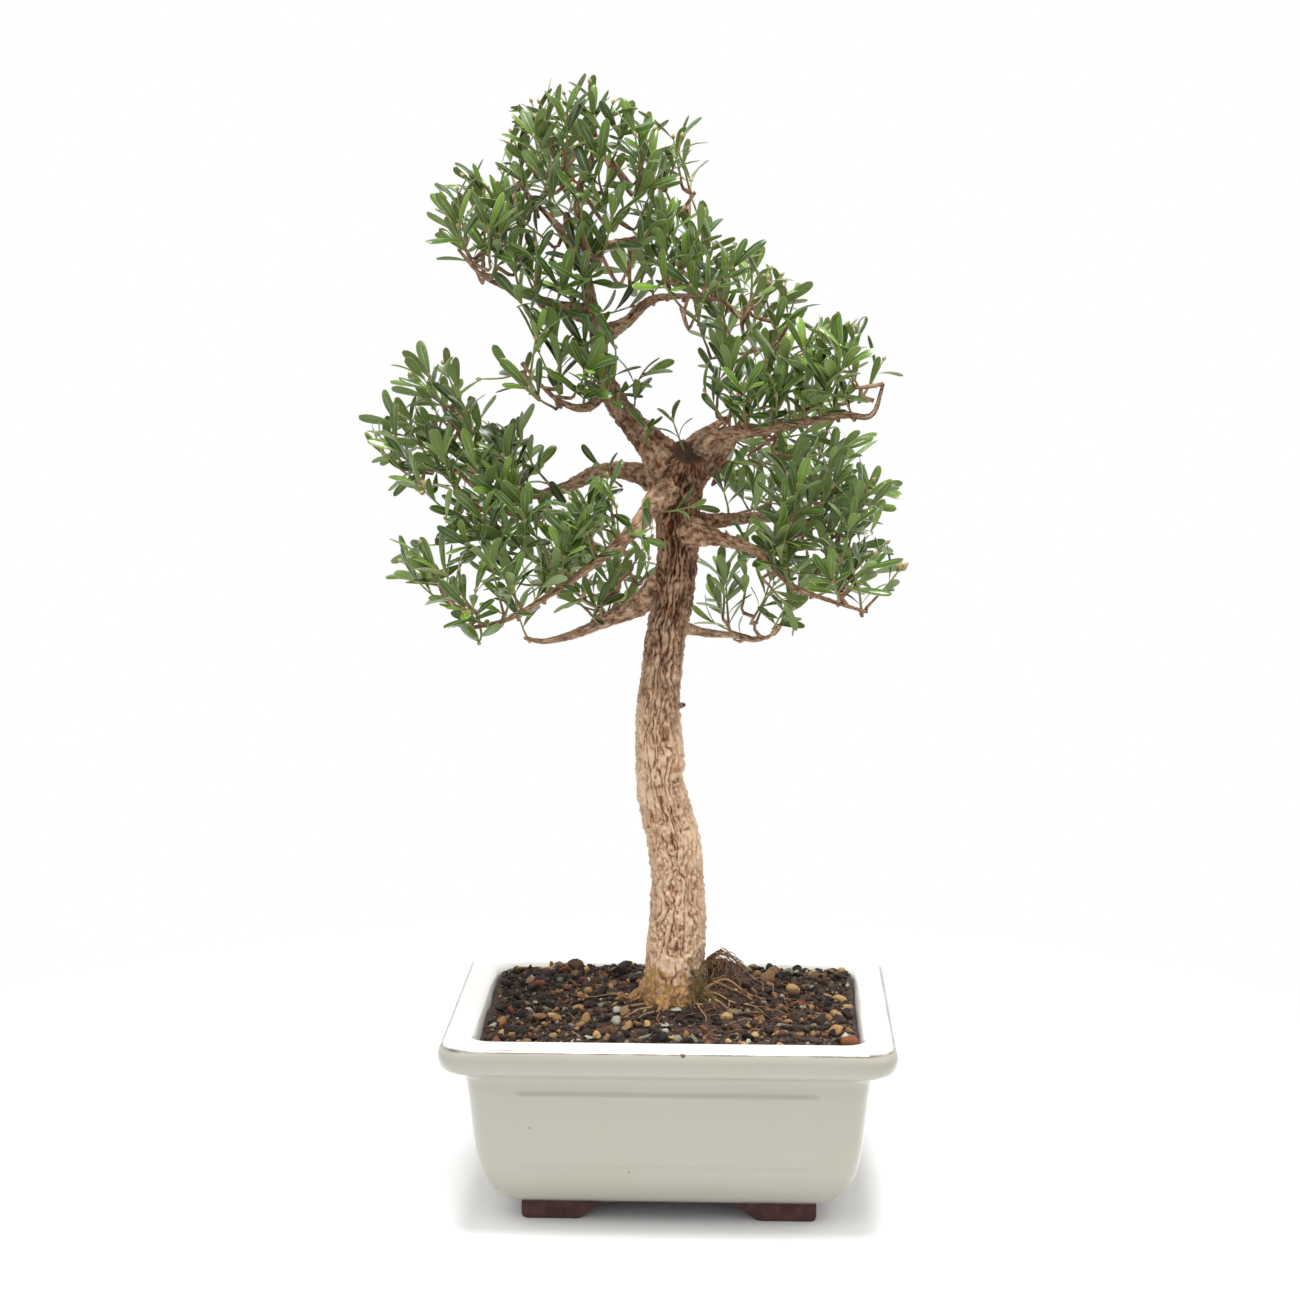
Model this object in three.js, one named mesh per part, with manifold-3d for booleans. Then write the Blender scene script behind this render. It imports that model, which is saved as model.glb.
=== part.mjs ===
// Chinese boxwood bonsai: an upright tree with corky bark and small spoon-shaped leaves, standing in
// gritty soil in a cream glazed rectangular pot on four bare clay feet.
// Millimetres, +Z up. The pot stands on z = 0 and the trunk rises from the middle of the pot.
import * as THREE from "three";
import { mergeVertices } from "three/addons/utils/BufferGeometryUtils.js";
import Module from "manifold-3d";

const wasm = await Module();
wasm.setup();

// Driving dimensions of the pot
const POT_WIDTH = 240;
const POT_DEPTH = 190;
const POT_HEIGHT = 106;
const FOOT_HEIGHT = 10.5;
const FOOT_REACH_X = 51;
const FOOT_REACH_Y = 36;
const FOOT_CURL = 22;
const FOOT_THICKNESS = 15;
const LIP_THICKNESS = 15.5;
const LIP_OVERHANG = 12.4;
const WALL = 6;
const RIM_WIDTH = 18;
const FLOOR = 8;
const LIP_CORNER = 16;
const DRAIN_HOLE_RADIUS = 8;
const DRAIN_HOLE_X = 48;
const PANEL_WIDTH_FRONT = 160;
const PANEL_WIDTH_SIDE = 110;
const PANEL_HEIGHT = 44;
const PANEL_BOTTOM = 36;
const PANEL_RELIEF = 1.3;
const PANEL_BEVEL = 2.2;
// How far the panel's middle stands in from the lip, and how far its foot stands in from its head
const PANEL_INSET = 16.2;
const PANEL_LEAN = 5.4;

// Driving dimensions of the soil and the screens under it
const SOIL_BELOW_RIM = 9;
const GRAIN = 9.8;
const GRAIN_RELIEF = 2.2;
const SCREEN_SIZE = 26;
const SCREEN_THICKNESS = 1.4;
const SCREEN_MESHES = 3;
const SCREEN_BAR = 2.4;

// Depth of the bark's ridges as a share of the stem's radius
const BARK_RELIEF = 0.085;

// Driving dimensions of the leaves
const LEAF_LENGTH = 24;
const LEAF_WIDTH = 7.8;
const LEAF_THICKNESS = 0.7;
const LEAF_ARCH = 1.6;
const SHOOT_LENGTH = 23;
const SHOOT_RADIUS = 1;
const PAIRS_PER_SHOOT = 3;
const SHOOT_STRAY = 0.2;
const SHOOT_STRAY_PER_ATTEMPT = 0.15;
const SHOOT_ATTEMPTS = 10;
const LEAF_LEAN = 1.02;
const LEAF_LEAN_PER_PAIR = 0.16;
// Turns round the shoot that a blade tries, nearest first, until it crosses nothing
const LEAF_TWISTS = [0, 0.3, -0.3, 0.6, -0.6, 0.9, -0.9];

// Length of one straight stretch of a limb
const LIMB_STEP = 20;

// Room kept between neighbouring pieces
const GAP = 0.3;
const SHOOT_GAP = 0.5;
const LEAF_ROOM = 0.5;

const FULL_TURN = 2 * Math.PI;
const UP = new THREE.Vector3(0, 0, 1);

// Where the tree's own origin stands in the pot
const TREE_AT = new THREE.Vector3(1.2, 0, 4);

const FINISH = {
  glaze: { color: 0xcdcab4, roughness: 0.25, metalness: 0 },
  bark: { color: 0xa98567, roughness: 0.95, metalness: 0 },
  soil: { color: 0x43342a, roughness: 1, metalness: 0 },
  leaf: { color: 0x3c5a2a, roughness: 0.45, metalness: 0 },
  screen: { color: 0x1f2220, roughness: 0.6, metalness: 0 },
};

const treePoint = ([x, y, z]) => new THREE.Vector3(x, y, z).add(TREE_AT);

// A repeatable number from 0 to 1 for a set of whole-number keys.
function draw(...keys) {
  const mixed = keys.reduce((sum, key, place) => sum + (key + 1) * (12.9898 + 65.2432 * place), 4.137);
  const wave = Math.sin(mixed) * 43758.5453;
  return wave - Math.floor(wave);
}

// The same, from -size to size.
const drift = (size, ...keys) => size * (2 * draw(...keys) - 1);

function solidOf(geometry) {
  const bare = new THREE.BufferGeometry();
  bare.setAttribute("position", geometry.getAttribute("position"));
  if (geometry.index) bare.setIndex(geometry.index);
  const merged = mergeVertices(bare, 1e-4);
  return new wasm.Manifold(
    new wasm.Mesh({
      numProp: 3,
      vertProperties: new Float32Array(merged.attributes.position.array),
      triVerts: new Uint32Array(merged.index.array),
    }),
  );
}

const join = (solids) => solids.reduce((sum, next) => sum.add(next));

function meshOf(name, solid, finish) {
  const made = solid.getMesh();
  const geometry = new THREE.BufferGeometry();
  geometry.setAttribute("position", new THREE.BufferAttribute(made.vertProperties, 3));
  geometry.setIndex(new THREE.BufferAttribute(made.triVerts, 1));
  const flat = geometry.toNonIndexed();
  flat.computeVertexNormals();
  const mesh = new THREE.Mesh(flat, new THREE.MeshStandardMaterial({ ...finish, flatShading: true }));
  mesh.name = name;
  return mesh;
}

// A closed skin over rings of equal count, with flat ends.
function skin(rings) {
  const count = rings[0].length;
  const index = [];
  for (let ring = 0; ring + 1 < rings.length; ring++) {
    for (let i = 0; i < count; i++) {
      const a = ring * count + i;
      const b = ring * count + ((i + 1) % count);
      index.push(a, b, b + count, a, b + count, a + count);
    }
  }
  const last = (rings.length - 1) * count;
  for (let i = 1; i + 1 < count; i++) {
    index.push(0, i + 1, i);
    index.push(last, last + i, last + i + 1);
  }
  return new THREE.BufferGeometry().setFromPoints(rings.flat()).setIndex(index);
}

// One level rounded rectangle, anticlockwise seen from above.
function roundedRing(halfX, halfY, corner, z) {
  const stepsPerCorner = 4;
  const ring = [];
  for (let quarter = 0; quarter < 4; quarter++) {
    const signX = quarter === 0 || quarter === 3 ? 1 : -1;
    const signY = quarter < 2 ? 1 : -1;
    for (let step = 0; step <= stepsPerCorner; step++) {
      const angle = ((quarter + step / stepsPerCorner) * Math.PI) / 2;
      const x = signX * (halfX - corner) + corner * Math.cos(angle);
      const y = signY * (halfY - corner) + corner * Math.sin(angle);
      ring.push(new THREE.Vector3(x, y, z));
    }
  }
  return ring;
}

// Pot
const rimHalfX = POT_WIDTH / 2;
const rimHalfY = POT_DEPTH / 2;
const lipUnder = POT_HEIGHT - LIP_THICKNESS;

// A ring set in from the lip's outer edge.
const potRing = (inset, z) =>
  roundedRing(rimHalfX - inset, rimHalfY - inset, Math.max(6, LIP_CORNER - inset * 0.22), z);

function potOutside() {
  return [
    potRing(41, FOOT_HEIGHT),
    potRing(36, FOOT_HEIGHT + 1.5),
    potRing(30, FOOT_HEIGHT + 5),
    potRing(25.5, FOOT_HEIGHT + 10),
    potRing(22, FOOT_HEIGHT + 16.5),
    potRing(19.4, FOOT_HEIGHT + 24.5),
    potRing(17.4, FOOT_HEIGHT + 36),
    potRing(15.8, FOOT_HEIGHT + 51),
    potRing(14.2, FOOT_HEIGHT + 66),
    potRing(LIP_OVERHANG, lipUnder - 4),
    potRing(LIP_OVERHANG - 3, lipUnder - 1.5),
    potRing(4.5, lipUnder),
    potRing(1.3, lipUnder + 2.5),
    potRing(0, lipUnder + 7.5),
    potRing(0.8, POT_HEIGHT - 3),
    potRing(3.6, POT_HEIGHT - 0.4),
  ];
}

// The hollow's rings from the rim down to the floor, drawn in by room all round.
function potInside(room) {
  return [
    potRing(RIM_WIDTH - 2.5, POT_HEIGHT),
    potRing(RIM_WIDTH + room, POT_HEIGHT - 2.5),
    potRing(16.5 + WALL + room, FOOT_HEIGHT + 51),
    potRing(20.5 + WALL + room, FOOT_HEIGHT + FLOOR + 18),
    potRing(27 + WALL + room, FOOT_HEIGHT + FLOOR + 6),
    potRing(36 + WALL + room, FOOT_HEIGHT + FLOOR + room),
  ];
}

// The bracket outline of a foot: a flat sole and a curved inner end, reach long where it meets the pot.
function footOutline(reach) {
  const sink = 4;
  const sole = reach - FOOT_CURL;
  const outline = new THREE.Shape();
  outline.moveTo(0, FOOT_HEIGHT + sink);
  outline.lineTo(0, 3);
  outline.quadraticCurveTo(0.4, 0, 3.5, 0);
  outline.lineTo(sole, 0);
  outline.quadraticCurveTo(sole + 4, 0.4, sole + 7, 4);
  outline.quadraticCurveTo(sole + 11, 8, reach, FOOT_HEIGHT);
  outline.lineTo(reach, FOOT_HEIGHT + sink);
  outline.closePath();
  return outline;
}

// One slab of a foot, standing on its outline, which runs along way and is as thick as inward is long.
function footSlab(reach, way, inward, corner) {
  const slab = new THREE.ExtrudeGeometry(footOutline(reach), {
    depth: FOOT_THICKNESS,
    bevelEnabled: false,
    curveSegments: 3,
  });
  const basis = new THREE.Matrix4().makeBasis(way, UP, inward).setPosition(corner);
  const flipped = basis.determinant() < 0;
  slab.applyMatrix4(basis);
  if (flipped) {
    const place = slab.attributes.position;
    for (let i = 0; i < place.count; i += 3) {
      const kept = new THREE.Vector3().fromBufferAttribute(place, i);
      place.copyAt(i, place, i + 1).setXYZ(i + 1, kept.x, kept.y, kept.z);
    }
  }
  return solidOf(slab);
}

// Four brackets, each an L of two slabs round a corner of the underside.
function potFeet() {
  const feet = [];
  for (const side of [-1, 1]) {
    for (const end of [-1, 1]) {
      const corner = new THREE.Vector3(side * (rimHalfX - 41), end * (rimHalfY - 41), 0);
      const alongX = new THREE.Vector3(-side, 0, 0);
      const alongY = new THREE.Vector3(0, -end, 0);
      feet.push(footSlab(FOOT_REACH_X, alongX, alongY, corner));
      feet.push(footSlab(FOOT_REACH_Y, alongY, alongX, corner));
    }
  }
  return feet;
}

// The raised panel on each side of the pot.
function potPanels() {
  const sunk = 6;
  const slope = Math.atan(PANEL_LEAN / PANEL_HEIGHT);
  const panels = [];
  for (let face = 0; face < 4; face++) {
    const long = face % 2 === 0;
    const width = long ? PANEL_WIDTH_FRONT : PANEL_WIDTH_SIDE;
    const out = (long ? rimHalfY : rimHalfX) - PANEL_INSET;
    const plate = new THREE.CylinderGeometry(Math.SQRT1_2, Math.SQRT1_2, 1, 4, 1).rotateY(Math.PI / 4);
    const place = plate.attributes.position;
    for (let i = 0; i < place.count; i++) {
      const outer = place.getY(i) < 0;
      const shrink = outer ? PANEL_BEVEL : 0;
      place.setXYZ(
        i,
        place.getX(i) * (width - 2 * shrink),
        outer ? -PANEL_RELIEF : sunk,
        place.getZ(i) * (PANEL_HEIGHT - 2 * shrink),
      );
    }
    plate.rotateX(slope).translate(0, -out, PANEL_BOTTOM + PANEL_HEIGHT / 2);
    plate.rotateZ((face * Math.PI) / 2);
    panels.push(solidOf(plate));
  }
  return panels;
}

function drainHoles() {
  return [-1, 1].map((side) =>
    solidOf(
      new THREE.CylinderGeometry(DRAIN_HOLE_RADIUS, DRAIN_HOLE_RADIUS, 3 * FLOOR, 16)
        .rotateX(Math.PI / 2)
        .translate(side * DRAIN_HOLE_X, 0, FOOT_HEIGHT + FLOOR / 2),
    ),
  );
}

function makePot() {
  const bowl = solidOf(skin([...potOutside(), ...potInside(0)]));
  return drainHoles().reduce((pot, hole) => pot.subtract(hole), join([bowl, ...potPanels(), ...potFeet()]));
}

// Drain screens
function makeScreen(side) {
  const top = FOOT_HEIGHT + FLOOR + GAP + SCREEN_THICKNESS;
  const sheet = solidOf(
    new THREE.BoxGeometry(SCREEN_SIZE, SCREEN_SIZE, SCREEN_THICKNESS).translate(
      side * DRAIN_HOLE_X,
      0,
      top - SCREEN_THICKNESS / 2,
    ),
  );
  const pitch = (SCREEN_SIZE - SCREEN_BAR) / SCREEN_MESHES;
  const holes = [];
  for (let row = 0; row < SCREEN_MESHES; row++) {
    for (let column = 0; column < SCREEN_MESHES; column++) {
      const x = side * DRAIN_HOLE_X + (row - (SCREEN_MESHES - 1) / 2) * pitch;
      const y = (column - (SCREEN_MESHES - 1) / 2) * pitch;
      const hole = new THREE.BoxGeometry(pitch - SCREEN_BAR, pitch - SCREEN_BAR, 4 * SCREEN_THICKNESS);
      holes.push(solidOf(hole.translate(x, y, top)));
    }
  }
  return sheet.subtract(join(holes));
}

// The plain block of space that a screen needs in the soil.
function screenRoom(side) {
  const size = SCREEN_SIZE + 2 * GAP;
  const high = FOOT_HEIGHT + FLOOR + 2 * GAP + SCREEN_THICKNESS;
  return solidOf(new THREE.BoxGeometry(size, size, 2 * high).translate(side * DRAIN_HOLE_X, 0, 0));
}

// Wood: each row is [x, y, z, radius]
const TRUNK = [
  [-1, 0, 58, 8],
  [-1, 0, 84, 11],
  [0, -1, 96, 16.5],
  [1, 0, 110, 18],
  [1, 1, 128, 16.4],
  [2, 2, 155, 14.8],
  [0, 2, 189, 13.6],
  [-5, 1, 210, 13.2],
  [-8, 0, 225, 12],
  [-8, -1, 240, 12.8],
  [-9, -2, 260, 12],
  [-7, -2, 286, 11.4],
  [-4, -1, 308, 11.4],
  [0, 0, 330, 10.8],
  [2, 1, 352, 10.8],
  [2, 0, 376, 11.6],
  [4, -2, 394, 12],
  [7, -5, 408, 8.2],
];

const LIMBS = {
  leader: [
    [0, 0, 384, 9],
    [-8, 2, 402, 8.2],
    [-21, 4, 416, 7],
    [-33, 4, 432, 6.4],
    [-39, 2, 448, 5.8],
    [-41, -1, 466, 5.3],
    [-46, -3, 490, 4.9],
    [-49, -1, 514, 4.5],
    [-51, 3, 538, 3.8],
    [-45, 5, 556, 2.4],
    [-40, 4, 568, 1.6],
  ],
  leftUpper: [
    [0, 4, 381, 6.5],
    [-21, 15, 391, 5],
    [-41, 25, 391, 4.3],
    [-62, 34, 381, 3.8],
    [-88, 38, 376, 2.8],
    [-112, 36, 384, 2.2],
    [-128, 30, 396, 1.6],
  ],
  leftFront: [
    [0, -4, 388, 7],
    [-10, -24, 378, 5.4],
    [-20, -43, 366, 4.2],
    [-38, -60, 352, 3.2],
    [-62, -74, 336, 2.6],
    [-84, -82, 324, 2.1],
    [-104, -84, 320, 1.6],
  ],
  leftLow: [
    [-3, 2, 334, 7],
    [-23, 16, 317, 5.8],
    [-38, 30, 309, 4.8],
    [-56, 44, 299, 3.7],
    [-76, 54, 293, 2.6],
    [-86, 60, 294, 1.8],
  ],
  rightUpper: [
    [5, -2, 402, 7],
    [22, -12, 412, 4.8],
    [44, -26, 417, 3.4],
    [68, -36, 422, 3],
    [88, -42, 426, 3.3],
    [102, -44, 426, 2.4],
    [108, -45, 442, 1.5],
  ],
  rightFork: [
    [6, 2, 386, 5.5],
    [22, 10, 398, 3.4],
    [34, 18, 415, 2.6],
    [42, 22, 436, 2.2],
    [52, 20, 456, 1.8],
    [60, 14, 470, 1.5],
  ],
  rightBack: [
    [4, 4, 364, 6],
    [29, 36, 364, 4],
    [50, 56, 363, 3.7],
    [72, 70, 359, 3],
    [92, 78, 361, 2],
    [104, 80, 368, 1.5],
  ],
  rightLow: [
    [5, -3, 362, 6.4],
    [26, -20, 359, 3.8],
    [46, -34, 353, 2.6],
    [62, -44, 338, 2.1],
    [82, -52, 331, 1.8],
    [100, -56, 326, 1.5],
  ],
  backLow: [
    [-3, 3, 312, 4],
    [14, 26, 303, 2.6],
    [30, 42, 299, 2.3],
    [44, 56, 294, 1.8],
    [54, 66, 296, 1.4],
  ],
  back: [
    [2, 2, 398, 5.5],
    [10, 24, 408, 3.8],
    [20, 46, 414, 3],
    [30, 66, 420, 2.2],
    [36, 82, 432, 1.5],
  ],
  topRight: [
    [-41, -1, 464, 4.6],
    [-26, -4, 472, 3.2],
    [-12, -12, 484, 2.8],
    [8, -18, 486, 2.2],
    [26, -22, 484, 1.5],
  ],
  topLeft: [
    [-46, -2, 476, 4],
    [-64, -8, 482, 2.6],
    [-82, -14, 488, 2.1],
    [-100, -20, 497, 1.8],
    [-112, -22, 510, 1.4],
  ],
  crownLeft: [
    [-49, -2, 502, 3.2],
    [-58, 6, 516, 2.4],
    [-70, 12, 530, 1.8],
    [-84, 16, 545, 1.4],
  ],
  crownRight: [
    [-49, 0, 510, 3.2],
    [-28, 10, 514, 2.4],
    [-4, 16, 522, 1.8],
    [10, 18, 540, 1.4],
  ],
  midLeft: [
    [-36, 2, 438, 3.6],
    [-46, -12, 428, 2.6],
    [-58, -26, 431, 2],
    [-70, -34, 442, 1.7],
    [-78, -36, 452, 1.4],
  ],
};

// Fissured bark: lengthwise ridges that wander round the stem, broken by knots.
function barkRelief(side, sides, along, depth, key) {
  const turn = (FULL_TURN * side) / sides;
  const ridge = side % 2 === 0 ? 1 : -1;
  const wander = Math.sin(2 * turn + along / 31 + key);
  return 1 + depth * (0.55 * ridge + 0.5 * wander + drift(0.6, key, side, Math.round(along / 9)) - 0.6);
}

// The route of a table row by row: [x, y, z, radius] in the tree's own frame.
const routeOf = (rows) => rows.map((row) => ({ at: treePoint(row), radius: row[3] }));

// A closed tapering stem along a route, grown by room all round.
function stem(route, sides, step, { relief = 0, room = 0, key = 0 } = {}) {
  const curve = new THREE.CatmullRomCurve3(route.map(({ at }) => at), false, "centripetal");
  const length = curve.getLength();
  const steps = Math.max(1, Math.round(length / step));
  const frames = curve.computeFrenetFrames(steps, false);
  const rings = [];
  for (let station = 0; station <= steps; station++) {
    const share = station / steps;
    const passed = Math.min(curve.getUtoTmapping(share), 0.99999) * (route.length - 1);
    const row = Math.floor(passed);
    const plain = THREE.MathUtils.lerp(route[row].radius, route[row + 1].radius, passed - row);
    const ring = [];
    for (let side = 0; side < sides; side++) {
      const angle = (FULL_TURN * side) / sides;
      const bark = relief ? barkRelief(side, sides, share * length, relief, key) : 1;
      const radius = plain * bark + room;
      const across = frames.normals[station].clone().multiplyScalar(radius * Math.cos(angle));
      across.addScaledVector(frames.binormals[station], radius * Math.sin(angle));
      ring.push(curve.getPointAt(share).add(across));
    }
    rings.push(ring);
  }
  return solidOf(skin(rings));
}

// Leafy shoots: the middle of each, spread through the crown
const SHOOT_MIDDLES = [
  [-54, 6, 570],
  [-29, -14, 563],
  [-67, -12, 560],
  [-40, -30, 553],
  [-11, 2, 554],
  [-17, -24, 540],
  [-56, 44, 539],
  [7, 38, 539],
  [-31, -38, 524],
  [-6, -32, 516],
  [-79, 32, 534],
  [14, -14, 510],
  [0, -38, 486],
  [-106, -26, 506],
  [-99, -4, 528],
  [-95, -32, 509],
  [-82, -14, 493],
  [-61, -22, 481],
  [-80, -32, 447],
  [-49, -36, 439],
  [-24, 36, 495],
  [21, 20, 483],
  [47, 4, 488],
  [57, 26, 463],
  [92, -42, 447],
  [56, -32, 448],
  [30, -26, 439],
  [80, -46, 437],
  [43, 58, 452],
  [27, 88, 445],
  [67, 42, 407],
  [91, 62, 385],
  [37, 66, 401],
  [101, 70, 369],
  [58, 26, 376],
  [83, -22, 369],
  [98, -50, 347],
  [91, -62, 339],
  [48, -36, 354],
  [48, 62, 313],
  [69, -24, 341],
  [-147, 24, 410],
  [-135, 18, 441],
  [-110, 50, 414],
  [-137, 6, 392],
  [-109, -8, 399],
  [-92, 56, 403],
  [-112, -34, 369],
  [-81, -12, 379],
  [-122, -70, 344],
  [-107, -82, 339],
  [-82, -56, 356],
  [-47, -42, 370],
  [-58, 34, 324],
  [-36, 48, 329],
];

// The middle of the crown, which every shoot leans away from
const CROWN_HEART = treePoint([-10, 0, 425]);

// Places inside the limbs where a twig may start: ring centres and the middles between them.
const TWIG_STATIONS = Object.values(LIMBS).flatMap((rows) => {
  const curve = new THREE.CatmullRomCurve3(rows.map(treePoint), false, "centripetal");
  const rings = curve.getSpacedPoints(Math.round(curve.getLength() / LIMB_STEP));
  return rings.slice(2).flatMap((ring, i) => [ring.clone().lerp(rings[i + 1], 0.5), ring]);
});

// A shoot leans away from its limb, from the crown's heart and upwards. Later attempts stray further.
function shootAt(row, owner, attempt) {
  const middle = treePoint(row);
  const root = TWIG_STATIONS.reduce((best, next) =>
    next.distanceTo(middle) < best.distanceTo(middle) - 0.5 ? next : best,
  );
  const way = middle.clone().sub(root).normalize();
  way.addScaledVector(middle.clone().sub(CROWN_HEART).normalize(), 0.6).addScaledVector(UP, 0.3);
  const stray = SHOOT_STRAY + SHOOT_STRAY_PER_ATTEMPT * attempt;
  way.add(new THREE.Vector3(...[1, 2, 3].map((axis) => drift(stray, owner, axis, attempt)))).normalize();
  const back = Math.min(0.5 * SHOOT_LENGTH + 12, Math.max(2, root.distanceTo(middle) - 7));
  const base = middle.clone().addScaledVector(way, -back);
  return { owner, root, base, way };
}

// The woody twig from a limb to the foot of a leafy shoot.
function twigRoute({ root, base, way }) {
  const bow = base.clone().addScaledVector(way, -Math.min(7, 0.5 * root.distanceTo(base)));
  return [
    { at: root, radius: 1.6 },
    { at: bow, radius: 1.4 },
    { at: base, radius: 1.2 },
  ];
}

// The green stalk of a spray: its foot just clear of the twig's end, then a slight upward curve.
function stalkRoute({ owner, base, way }) {
  const bend = new THREE.Vector3(drift(0.25, owner, 4), drift(0.25, owner, 5), 0.25);
  const foot = base.clone().addScaledVector(way, SHOOT_GAP);
  const middle = base.clone().addScaledVector(way, SHOOT_LENGTH / 2);
  const tip = middle.clone().addScaledVector(way.clone().add(bend).normalize(), SHOOT_LENGTH / 2);
  return [foot, middle, tip].map((at, i) => ({ at, radius: SHOOT_RADIUS * (1 - 0.15 * i) }));
}

const boxesMeet = (a, b) => [0, 1, 2].every((i) => a.min[i] <= b.max[i] && b.min[i] <= a.max[i]);

// Whether a solid meets any of the others.
function meets(solid, others) {
  const box = solid.boundingBox();
  return others.some((other) => boxesMeet(box, other.box) && !solid.intersect(other.solid).isEmpty());
}

const boxed = (solid, owner) => ({ solid, owner, box: solid.boundingBox() });

const makeTwig = (shoot, room) => stem(twigRoute(shoot), 3, 34, { room });
const makeStalk = (shoot, room) => stem(stalkRoute(shoot), 3, SHOOT_LENGTH / 2, { room });

// Grows the shoots one by one, each on the first attempt that clears the wood and the shoots before it.
function growShoots(limbs) {
  const shoots = [];
  const twigs = [];
  const stalks = [];
  SHOOT_MIDDLES.forEach((row, owner) => {
    const attempts = Array.from({ length: SHOOT_ATTEMPTS }, (_, attempt) => shootAt(row, owner, attempt));
    const shoot = attempts.find((tried) => {
      const stalkClear = !meets(makeStalk(tried, LEAF_ROOM), [boxed(limbs), ...twigs, ...stalks]);
      return stalkClear && !meets(makeTwig(tried, LEAF_ROOM), stalks);
    });
    if (!shoot) return;
    shoots.push(shoot);
    twigs.push(boxed(makeTwig(shoot, 0)));
    stalks.push(boxed(makeStalk(shoot, 0)));
  });
  return shoots;
}

// The bare trunk, grown by room all round and below.
function trunkStem(room) {
  const trunk = stem(routeOf(TRUNK), 12, 11, { relief: BARK_RELIEF, room, key: 3 });
  return room > 0 ? trunk.add(trunk.translate(0, 0, -room)) : trunk;
}

// Trunk and limbs, before the twigs grow on them.
function makeLimbs() {
  const limbs = Object.values(LIMBS).map((rows, i) =>
    stem(routeOf(rows), rows[0][3] > 6 ? 7 : 5, LIMB_STEP, { relief: BARK_RELIEF, key: 5 + i }),
  );
  return join([trunkStem(0), ...limbs]);
}

// Soil
// Height of the soil's surface: a low dome, the root mound right of the trunk, and the grains.
function soilHeight(x, y, column, row) {
  const bump = (cx, cy, wide, high) => high * Math.exp(-((x - cx) ** 2 + (y - cy) ** 2) / wide ** 2);
  const grain = ((column + row) % 2 === 0 ? 0.5 : -0.5) * GRAIN_RELIEF + drift(GRAIN_RELIEF / 2, column, row, 7);
  const mounds = bump(0, 0, 62, 7) + bump(25, 14, 16, 17) + bump(46, 18, 22, 6);
  return POT_HEIGHT - SOIL_BELOW_RIM + mounds + grain;
}

function makeSoil() {
  const sizeX = POT_WIDTH - 20;
  const sizeY = POT_DEPTH - 20;
  const columns = Math.round(sizeX / GRAIN);
  const rows = Math.round(sizeY / GRAIN);
  const block = new THREE.BoxGeometry(sizeX, sizeY, POT_HEIGHT, columns, rows, 1);
  const place = block.attributes.position;
  for (let i = 0; i < place.count; i++) {
    if (place.getZ(i) < 0) continue;
    const column = Math.round((place.getX(i) / sizeX + 0.5) * columns);
    const row = Math.round((place.getY(i) / sizeY + 0.5) * rows);
    const x = place.getX(i) + drift(GRAIN / 4, column, row, 8);
    const y = place.getY(i) + drift(GRAIN / 4, column, row, 9);
    place.setXYZ(i, x, y, soilHeight(x, y, column, row));
  }
  const hollow = [potRing(0, POT_HEIGHT + 40), ...potInside(GAP)].slice(1).reverse();
  hollow.push(potRing(RIM_WIDTH - 1, POT_HEIGHT + 40));
  const filled = solidOf(block).intersect(solidOf(skin(hollow)));
  return filled.subtract(trunkStem(GAP)).subtract(screenRoom(-1)).subtract(screenRoom(1));
}

// Leaves
// One spoon-shaped blade along +Y with its upper face towards +Z, arched along its length.
function blade(length, width, thickness) {
  const widest = width / 2;
  const outline = [
    [0, 0, 0],
    [widest, length * 0.62, LEAF_ARCH],
    [widest * 0.5, length, 0.4 * LEAF_ARCH],
    [-widest * 0.5, length, 0.4 * LEAF_ARCH],
    [-widest, length * 0.62, LEAF_ARCH],
  ];
  const count = outline.length;
  const points = [1, -1].flatMap((face) =>
    outline.map(([x, y, z]) => new THREE.Vector3(x, y, z + (face * thickness) / 2)),
  );
  const upper = [
    [0, 1, 4],
    [1, 2, 3],
    [1, 3, 4],
  ];
  const index = upper.flatMap(([a, b, c]) => [a, b, c, a + count, c + count, b + count]);
  for (let i = 0; i < count; i++) {
    const next = (i + 1) % count;
    index.push(i, i + count, next + count, i, next + count, next);
  }
  return new THREE.BufferGeometry().setFromPoints(points).setIndex(index);
}

// The seats of a shoot's leaves: opposite pairs, each a quarter turn from the last.
function leafSeats(shoot) {
  const [foot, middle, tip] = stalkRoute(shoot).map(({ at }) => at);
  const seats = [];
  for (let pair = 0; pair < PAIRS_PER_SHOOT; pair++) {
    const share = (pair + 0.7) / (PAIRS_PER_SHOOT - 0.25);
    const lower = share < 0.5;
    const seat = lower ? foot.clone().lerp(middle, 2 * share) : middle.clone().lerp(tip, 2 * share - 1);
    const along = (lower ? middle.clone().sub(foot) : tip.clone().sub(middle)).normalize();
    const side = new THREE.Vector3().crossVectors(along, UP).normalize();
    const over = new THREE.Vector3().crossVectors(side, along).normalize();
    for (const opposite of [0, 1]) {
      const turn = Math.PI * (opposite + pair / 2) + 0.6 + drift(0.35, shoot.owner, pair, opposite);
      const lean = LEAF_LEAN - LEAF_LEAN_PER_PAIR * pair + drift(0.12, shoot.owner, pair, opposite, 1);
      const size = (0.82 + 0.1 * pair) * (1 + drift(0.14, shoot.owner, pair, opposite, 2));
      seats.push({ seat, along, side, over, turn, lean, size });
    }
  }
  return seats;
}

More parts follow.
